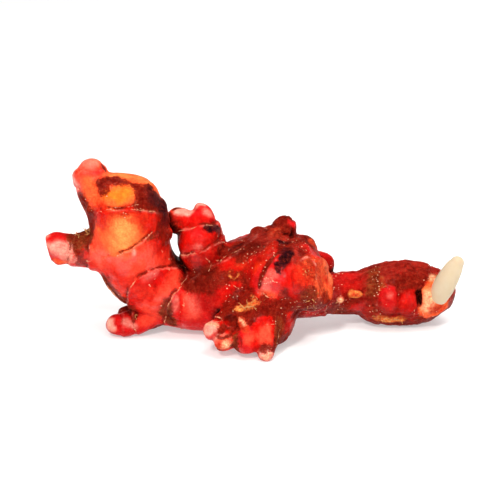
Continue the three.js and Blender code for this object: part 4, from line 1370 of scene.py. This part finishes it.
def upright(tree):
    """The rotation that stands a scrap along the lean of its point."""
    lean = carried(tree, "lean", "FLOAT_VECTOR")
    return add_node(tree, "FunctionNodeAlignRotationToVector", {"axis": "Z"}, {"Vector": lean}).outputs[0]


def finish_group(tree, points, scrap, rotation, scale, material):
    """Ends a tree: the scrap stands on every point, becomes real and takes its material."""
    info = add_node(tree, "GeometryNodeObjectInfo", {"transform_space": "ORIGINAL"}, {"Object": scrap})
    placed = add_node(tree, "GeometryNodeInstanceOnPoints", {}, {
        "Points": points, "Instance": info.outputs["Geometry"], "Rotation": rotation, "Scale": scale})
    real = add_node(tree, "GeometryNodeRealizeInstances", {}, {"Geometry": placed.outputs[0]})
    painted = add_node(tree, "GeometryNodeSetMaterial", {}, {
        "Geometry": real.outputs[0], "Material": material})
    add_node(tree, "NodeGroupOutput", {}, {0: painted.outputs[0]})
    return tree


def fringe_tree(scrap, material):
    """Stands scraps of paper side by side along a line, each with its own lean and its own height."""
    tree, given = node_group("paper_fringe", Spacing="NodeSocketFloat", Smallest="NodeSocketFloat",
                             Largest="NodeSocketFloat", Seed="NodeSocketInt")
    curve = add_node(tree, "GeometryNodeMeshToCurve", {}, {"Mesh": given["Geometry"]})
    even = add_node(tree, "GeometryNodeResampleCurve", {"mode": "LENGTH"}, {
        "Curve": curve.outputs[0], "Length": given["Spacing"]})
    points = add_node(tree, "GeometryNodeCurveToPoints", {"mode": "EVALUATED"}, {"Curve": even.outputs[0]})
    flat = add_node(tree, "FunctionNodeAlignRotationToVector", {"axis": "X", "pivot_axis": "Z"}, {
        "Rotation": upright(tree), "Vector": points.outputs["Tangent"]})
    turned = swayed(tree, flat.outputs[0], (0.8, 0.5, 0.8), given["Seed"])
    size = between(tree, given["Smallest"], given["Largest"], given["Seed"])
    size = maths(tree, "MULTIPLY", size, carried(tree, "tall"))
    return finish_group(tree, points.outputs["Points"], scrap, turned, size, material)


def fleck_tree(scrap, material):
    """Scatters flecks over the skin where the painted fleck density allows."""
    tree, given = node_group("flecks", Density="NodeSocketFloat", Smallest="NodeSocketFloat",
                             Largest="NodeSocketFloat", Seed="NodeSocketInt")
    density = maths(tree, "MULTIPLY", carried(tree, "flecked"), given["Density"])
    points = add_node(tree, "GeometryNodeDistributePointsOnFaces", {"distribute_method": "RANDOM"}, {
        "Mesh": given["Geometry"], "Density": density, "Seed": given["Seed"]})
    size = between(tree, given["Smallest"], given["Largest"], given["Seed"])
    return finish_group(tree, points.outputs["Points"], scrap, points.outputs["Rotation"], size, material)


def fibre_tree(scrap, material):
    """Stands a fibre on every point, leaning the point's own way."""
    tree, given = node_group("fibres", Seed="NodeSocketInt")
    points = add_node(tree, "GeometryNodeMeshToPoints", {}, {"Mesh": given["Geometry"]}).outputs[0]
    turned = swayed(tree, upright(tree), (0.3, 0.3, 3.1), given["Seed"])
    size = maths(tree, "MULTIPLY", carried(tree, "length"), between(tree, 0.5, 1.2, given["Seed"]))
    return finish_group(tree, points, scrap, turned, size, material)


# Attributes that the seed meshes carry into the trees and that the finished pieces have no use for.
CARRIED = ("lean", "tall", "length", "tone", "age", "wet", "flecked")


def grow_nodes(name, mesh, scrap, tree, values):
    """Runs a geometry node tree on a mesh once and keeps the result as a plain mesh object."""
    seed = link_piece(name + "_seed", mesh)
    modifier = seed.modifiers.new("grow", "NODES")
    modifier.node_group = tree
    for item in tree.interface.items_tree:
        if item.in_out == "INPUT" and item.name in values:
            modifier[item.identifier] = values[item.name]
    graph = bpy.context.evaluated_depsgraph_get()
    grown = bpy.data.meshes.new_from_object(seed.evaluated_get(graph))
    grown.name = name
    bpy.data.objects.remove(seed)
    bpy.data.objects.remove(scrap)
    for label in [a.name for a in grown.attributes if a.name in CARRIED or a.name.startswith("tissue_")]:
        grown.attributes.remove(grown.attributes[label])
    return link_piece(name, grown)


# ---------------------------------------------------------------------------------------------------------
# Properties, operators and panel
# ---------------------------------------------------------------------------------------------------------


# Every size: its value, the smallest and the largest that can be set, its unit and what it is.
SIZES = {
    "skin_grid": (0.55 * MM, 0.3 * MM, 3 * MM, "LENGTH", "Spacing of the grid that the skin is drawn from"),
    "scale_spacing": (0.42 * MM, 0.1 * MM, 20 * MM, "LENGTH", "Distance between the scraps of a papery fringe"),
    "smallest_scale": (0.25 * MM, 0, 20 * MM, "LENGTH", "Size of the smallest paper scrap"),
    "largest_scale": (1.05 * MM, 0, 20 * MM, "LENGTH", "Size of the largest paper scrap"),
    "fleck_density": (520000, 0, 5000000, "NONE", "Flakes to a square metre where the skin is most flecked"),
    "smallest_fleck": (0.35 * MM, 0, 20 * MM, "LENGTH", "Size of the smallest flake"),
    "largest_fleck": (1.35 * MM, 0, 20 * MM, "LENGTH", "Size of the largest flake"),
    "shoot_width": (7.9 * MM, 1 * MM, 40 * MM, "LENGTH", "Width of the young shoot at its thickest"),
    "floor_size": (6, 0.5, 20, "LENGTH", "Edge of the stage's floor"),
    "camera_distance": (0.49583, 0.1, 5, "LENGTH", "From the camera to the middle of the root"),
}

# The fingers that the dry sheath hangs over.
DRAPED_FINGERS = ("crown", "top_ridge", "right_ridge", "right_lobe")

# The shoot: its knots (x, y, z, radius), the points around it, and its depth as a share of its width.
SHOOT = [(67.3, 3.8, 14, 3.6), (68.1, 2.6, 17.4, 4.3), (69.6, 1.2, 21.8, 4.2), (71.6, 0.6, 26.4, 3.5),
         (72.6, 0.4, 28.4, 2.7)]
SHOOT_SIDES = 28
SHOOT_FLATNESS = 0.72

# The lights: name, place, size, power and whether wet skin mirrors them. The broad key light and the sky
# leave the highlights to the smaller lights, which sparkle on wet skin. All of them face one point.
LIGHTS = (
    ("key_light", (0.24, -0.24, 1.03), 0.6, 8.6, False),
    ("sparkle_light", (-0.22, -0.66, 0.72), 0.12, 5.6, True),
    ("fill_light", (0.30, -0.90, 0.55), 0.35, 2.6, True),
    ("rim_light", (0.30, 0.60, 0.80), 0.6, 1.4, True),
)
LIGHT_COLOUR = (1.0, 0.965, 0.93)
LIGHT_TARGET = Vector((0.0, 0.0, 0.03))

# How bright the sky is at the horizon and overhead.
SKY = (0.2, 0.75)

# The point that the camera looks at, in millimetres of the growth frame, and the angle it looks down at.
CAMERA_TARGET = (-1.64, 0.0, 33.43)
CAMERA_ELEVATION = math.radians(20)


class GingerSizes(bpy.types.PropertyGroup):
    __annotations__ = {
        name: bpy.props.FloatProperty(
            name=name.replace("_", " ").capitalize(), description=description, default=value,
            min=least, max=most, precision=5, unit=unit)
        for name, (value, least, most, unit, description) in SIZES.items()
    }


class GingerColours(bpy.types.PropertyGroup):
    __annotations__ = {
        name: bpy.props.FloatVectorProperty(
            name=name.replace("_", " ").capitalize(), description=description, default=linear(value),
            size=4, min=0.0, max=1.0, subtype="COLOR")
        for name, (value, description) in COLOURS.items()
    }


class GINGER_OT_skin(bpy.types.Operator):
    """Grow the fingers, buds, rings and scars as one skin"""

    bl_idname = "ginger.skin"
    bl_label = "Skin"

    def execute(self, context):
        field = root_field()
        grid = openvdb.FloatGrid(background=3.0)
        grid.copyFromArray(np.ascontiguousarray(field.values))
        corners, quads = grid.convertToQuads(0.0)
        points = settle(field, GRID_LOW + np.asarray(corners, float) * field.spacing, 2)
        normals = field.gradient(points)
        place, owner = growth_coordinates(points)
        shares = paint(points, owner)
        hidden = shelter(field, points, normals)
        streaks = lengthwise(place, 0.8, 7, 71) + 0.6 * lengthwise(place, 1.7, 6, 72)
        crown = np.isin(owner, [list(FINGERS).index(name) for name in DRAPED_FINGERS])
        streaks = np.where(crown, 1.2 * drape(points), streaks)

        def share(*names):
            return sum(shares[:, TISSUES.index(name)] for name in names)

        # Painted shade, partly soil: the more a crevice is sheltered, the more of the near-black deep tissue is
        # laid in it.
        dark = 0.85 * smoothstep(0.42, 0.9, hidden + 0.10 * noise(points, 1.6, 73))
        lay(shares, slice(None), "deep", dark)

        # Old skin is coarse and young skin nearly smooth; dry sheath and broken flesh are drawn out in ribs.
        young = share("glow", "orange", "amber", "salmon", "pale", "cream", "crimson") + 0.6 * share("red")
        age = np.clip(sum(weight * share(name) for name, weight in SKIN_AGE.items()), 0, 1)
        height = (0.05 + 0.26 * age) * rough(points, 2.0, 3, 51)
        height += (0.02 + 0.13 * share("maroon", "flesh", "bark", "sheath", "wine")) * streaks
        points = points + normals * height[:, None]
        points[:, 2] = np.maximum(points[:, 2], 0.02)

        # Tone and painted shade: lengthwise fibres, small freckles, and painted shade darkening the crevices.
        tone = 1.08 + (0.08 + 0.17 * (1 - young)) * streaks
        tone += (0.07 + 0.20 * (1 - young)) * rough(points, 1.5, 3, 74) - 0.12 * (1 - young)
        tone *= 1 - 0.75 * smoothstep(0.12, 0.7, hidden)
        tone += 0.5 * (1 - young) * smoothstep(0.45, 0.8, rough(points, 0.9, 2, 75))

        # Young skin is wet in patches.
        wet = share("crimson", "salmon", "pale") + 0.55 * share("red") + 0.3 * share("maroon", "wine")
        wet *= smoothstep(0.0, 0.7, noise(points, 5, 76) + 0.5 * noise(points, 1.8, 77))

        # Loose flakes cling to old skin, most of all right of the left finger.
        flecked = 0.05 + share("maroon", "bark", "gold", "sheath", "wine") + 0.2 * share("red")
        flecked *= 0.35 + 0.65 * smoothstep(-26, -16, points[:, 0])
        flecked *= smoothstep(-0.1, 0.9, noise(points, 9, 81) + 0.6 * noise(points, 3.5, 82))
        # Painted glints: extra pale flakes on the wet patches stand in for their highlights.
        for centre, radius, strength in GLINT_FLECK_SPOTS:
            away = np.linalg.norm(points - np.array(centre), axis=1) / radius
            flecked += strength * smoothstep(1.0, 0.2, away) * smoothstep(0.0, 0.6, noise(points, 1.6, 86))

        piece = add_piece("rhizome_skin", points, np.asarray(quads)[:, ::-1].tolist(), skin_material())
        for n in range(4):
            store(piece.data, f"tissue_{n}", "FLOAT_COLOR", shares[:, 4 * n : 4 * n + 4])
        store(piece.data, "tone", "FLOAT", np.clip(tone, 0.05, 2.0))
        store(piece.data, "age", "FLOAT", age)
        store(piece.data, "wet", "FLOAT", np.clip(wet, 0, 1))
        store(piece.data, "flecked", "FLOAT", flecked)
        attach(piece, "root")
        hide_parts(NODE)
        return {"FINISHED"}


class GINGER_OT_fringes(bpy.types.Operator):
    """Fray the edges of the node rings and torn sheaths into papery scales"""

    bl_idname = "ginger.fringes"
    bl_label = "Papery fringes"

    def execute(self, context):
        field = root_field()
        places, leans, talls, edges = [], [], [], []
        runs = [run for name in FRINGED_RINGS for run in ring_runs(field, name)]
        for path, lean in TORN_EDGES:
            line = catmull_rom(path, 8)
            length = np.r_[0, np.cumsum(np.linalg.norm(np.diff(line, axis=0), axis=1))]
            even = np.arange(0, length[-1], LINE_STEP)
            line = settle(field, np.column_stack([np.interp(even, length, line[:, i]) for i in range(3)]))
            runs.append((line, 0.5 * field.gradient(line) + np.array(lean)))
        for line, lean in runs:
            start = len(places)
            places.extend(line)
            leans.extend(lean / np.linalg.norm(lean, axis=1, keepdims=True))
            worn = smoothstep(-0.25, 0.55, noise(line, 3.4, 91) + 0.4 * noise(line, 1.2, 92))
            talls.extend(worn)
            edges.extend((start + i, start + i + 1) for i in range(len(line) - 1)
                         if min(worn[i], worn[i + 1]) > 0.12)
        sizes = context.scene.ginger_sizes
        mesh = bpy.data.meshes.new("fringe_lines")
        mesh.from_pydata(to_part(np.array(places)).tolist(), edges, [])
        store(mesh, "lean", "FLOAT_VECTOR", leans)
        store(mesh, "tall", "FLOAT", talls)
        scrap = paper_scale()
        piece = grow_nodes("papery_fringes", mesh, scrap, fringe_tree(scrap, papery_material()), {
            "Spacing": sizes.scale_spacing, "Smallest": sizes.smallest_scale / MM,
            "Largest": sizes.largest_scale / MM, "Seed": 11})
        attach(piece, "root")
        return {"FINISHED"}


class GINGER_OT_flecks(bpy.types.Operator):
    """Scatter pale flecks of dry skin over the old parts of the root, and extra ones on wet patches as painted
    glints
    """

    bl_idname = "ginger.flecks"
    bl_label = "Pale flecks"

    def execute(self, context):
        sizes = context.scene.ginger_sizes
        mesh = bpy.data.objects["rhizome_skin"].data.copy()
        scrap = fleck()
        piece = grow_nodes("pale_flecks", mesh, scrap, fleck_tree(scrap, fleck_material()), {
            "Density": sizes.fleck_density, "Smallest": sizes.smallest_fleck / MM,
            "Largest": sizes.largest_fleck / MM, "Seed": 5})
        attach(piece, "root")
        return {"FINISHED"}


class GINGER_OT_fibres(bpy.types.Operator):
    """Grow frayed golden fibres and root stubs where roots and scales have torn away"""

    bl_idname = "ginger.fibres"
    bl_label = "Fibres"

    def execute(self, context):
        field = root_field()
        pick = np.random.default_rng(23)
        places, leans, lengths = [], [], []
        for count, spread, size, centre, lean in TUFTS:
            spots = np.array(centre) + pick.normal(0, 1, (count, 3)) * np.array(spread)
            spots = settle(field, spots, 4)
            places.extend(spots)
            lengths.extend([size] * count)
            leans.extend(0.5 * field.gradient(spots) + np.array(lean) + 0.55 * pick.normal(0, 1, (count, 3)))
        mesh = bpy.data.meshes.new("fibre_roots")
        mesh.from_pydata(to_part(np.array(places)).tolist(), [], [])
        store(mesh, "lean", "FLOAT_VECTOR", leans)
        store(mesh, "length", "FLOAT", lengths)
        scrap = fibre()
        piece = grow_nodes("frayed_fibres", mesh, scrap, fibre_tree(scrap, fibre_material()), {"Seed": 3})
        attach(piece, "root")
        return {"FINISHED"}


class GINGER_OT_shoot(bpy.types.Operator):
    """Grow the ivory shoot from the end of the right finger"""

    bl_idname = "ginger.shoot"
    bl_label = "Young shoot"

    def execute(self, context):
        line = catmull_rom(SHOOT, 10)
        line[:, 3] *= context.scene.ginger_sizes.shoot_width / MM / (2 * max(knot[3] for knot in SHOOT))
        direction = np.gradient(line[:, :3], axis=0)
        direction /= np.linalg.norm(direction, axis=1, keepdims=True)
        side = np.cross(direction, (0.25, 1, 0))
        side /= np.linalg.norm(side, axis=1, keepdims=True)
        depth = np.cross(side, direction)

        def dome(end, knot, turn):
            """A ring of a round end of the shoot: its middle, the knot it lies at and its radius."""
            centre = line[knot, :3] + end * direction[knot] * line[knot, 3] * math.cos(turn)
            return centre, knot, line[knot, 3] * math.sin(turn)

        # The rings of points from end to end: a round foot, the shaft and a round tip.
        stations = [dome(-1, 0, turn) for turn in math.pi / 2 * np.arange(6) / 6]
        stations += [(knot[:3], i, knot[3]) for i, knot in enumerate(line)]
        stations += [dome(1, len(line) - 1, turn) for turn in math.pi / 2 * np.arange(6, -1, -1) / 7]
        vertices = []
        for centre, i, radius in stations[1:-1]:
            for a in 2 * math.pi * np.arange(SHOOT_SIDES) / SHOOT_SIDES:
                across = side[i] * radius * math.cos(a)
                vertices.append(centre + across + depth[i] * SHOOT_FLATNESS * radius * math.sin(a))
        faces = tube_faces(len(stations) - 2, SHOOT_SIDES)
        first, last = len(vertices), len(vertices) + 1
        for j in range(SHOOT_SIDES):
            k = (j + 1) % SHOOT_SIDES
            faces += [[first, k, j], [last, first - SHOOT_SIDES + j, first - SHOOT_SIDES + k]]
        vertices += [stations[0][0], stations[-1][0]]
        piece = add_piece("young_shoot", np.array(vertices), faces, shoot_material())
        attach(piece, "root")
        return {"FINISHED"}


class GINGER_OT_stage(bpy.types.Operator):
    """Lay the floor and set the lights and the camera"""

    bl_idname = "ginger.stage"
    bl_label = "Stage"

    def execute(self, context):
        scene = context.scene
        half = scene.ginger_sizes.floor_size / 2
        mesh = bpy.data.meshes.new("floor")
        corners = [(-half, -half, 0), (half, -half, 0), (half, half, 0), (-half, half, 0)]
        mesh.from_pydata(corners, [], [(0, 1, 2, 3)])
        mesh.materials.append(stage_material())
        floor = link_piece("floor", mesh)

        for name, place, size, power, shines in LIGHTS:
            data = bpy.data.lights.new(name, "AREA")
            data.size = size
            data.energy = power
            data.color = LIGHT_COLOUR
            light = bpy.data.objects.new(name, data)
            light.location = place
            light.visible_glossy = shines
            light.rotation_mode = "QUATERNION"
            light.rotation_quaternion = (LIGHT_TARGET - Vector(place)).to_track_quat("-Z", "Y")
            context.collection.objects.link(light)

        # A sky that is bright overhead and dim at the horizon, and leaves the highlights to the lights.
        world = bpy.data.worlds.new("soft_daylight")
        world.use_nodes = True
        tree = world.node_tree
        direction = add_node(tree, "ShaderNodeTexCoord").outputs["Generated"]
        height = add_node(tree, "ShaderNodeSeparateXYZ", {}, {0: direction}).outputs["Z"]
        background = tree.nodes["Background"]
        background.inputs["Color"].default_value = (1, 1, 1, 1)
        tree.links.new(remap(tree, height, 0.0, 1.0, *SKY), background.inputs["Strength"])
        world.cycles_visibility.glossy = False
        scene.world = world
        scene.view_settings.view_transform = "Standard"

        data = bpy.data.cameras.new("camera")
        data.lens = 100
        data.sensor_width = 36
        data.clip_start = 0.02
        data.clip_end = 20
        camera = bpy.data.objects.new("camera", data)
        away = Vector((0, -math.cos(CAMERA_ELEVATION), math.sin(CAMERA_ELEVATION)))
        camera.location = Vector(to_part(CAMERA_TARGET)) + scene.ginger_sizes.camera_distance * away
        camera.rotation_euler = (math.pi / 2 - CAMERA_ELEVATION, 0, 0)
        context.collection.objects.link(camera)
        scene.camera = camera
        return {"FINISHED"}


STEPS = (
    GINGER_OT_skin, GINGER_OT_fringes, GINGER_OT_flecks, GINGER_OT_fibres, GINGER_OT_shoot, GINGER_OT_stage,
)


class GINGER_PT_panel(bpy.types.Panel):
    bl_idname = "GINGER_PT_panel"
    bl_label = "Ginger root"
    bl_space_type = "VIEW_3D"
    bl_region_type = "UI"
    bl_category = "Ginger"

    def draw(self, context):
        for settings in (context.scene.ginger_sizes, context.scene.ginger_colours):
            for name in type(settings).__annotations__:
                self.layout.prop(settings, name)
        for step in STEPS:
            self.layout.operator(step.bl_idname)


CLASSES = (GingerSizes, GingerColours, *STEPS, GINGER_PT_panel)


def register():
    for item in CLASSES:
        bpy.utils.register_class(item)
    bpy.types.Scene.ginger_sizes = bpy.props.PointerProperty(type=GingerSizes)
    bpy.types.Scene.ginger_colours = bpy.props.PointerProperty(type=GingerColours)


def unregister():
    del bpy.types.Scene.ginger_colours
    del bpy.types.Scene.ginger_sizes
    for item in reversed(CLASSES):
        bpy.utils.unregister_class(item)


def main():
    register()
    bpy.ops.ginger.skin()
    bpy.ops.ginger.fringes()
    bpy.ops.ginger.flecks()
    bpy.ops.ginger.fibres()
    bpy.ops.ginger.shoot()
    bpy.ops.ginger.stage()


if __name__ == "__main__":
    main()
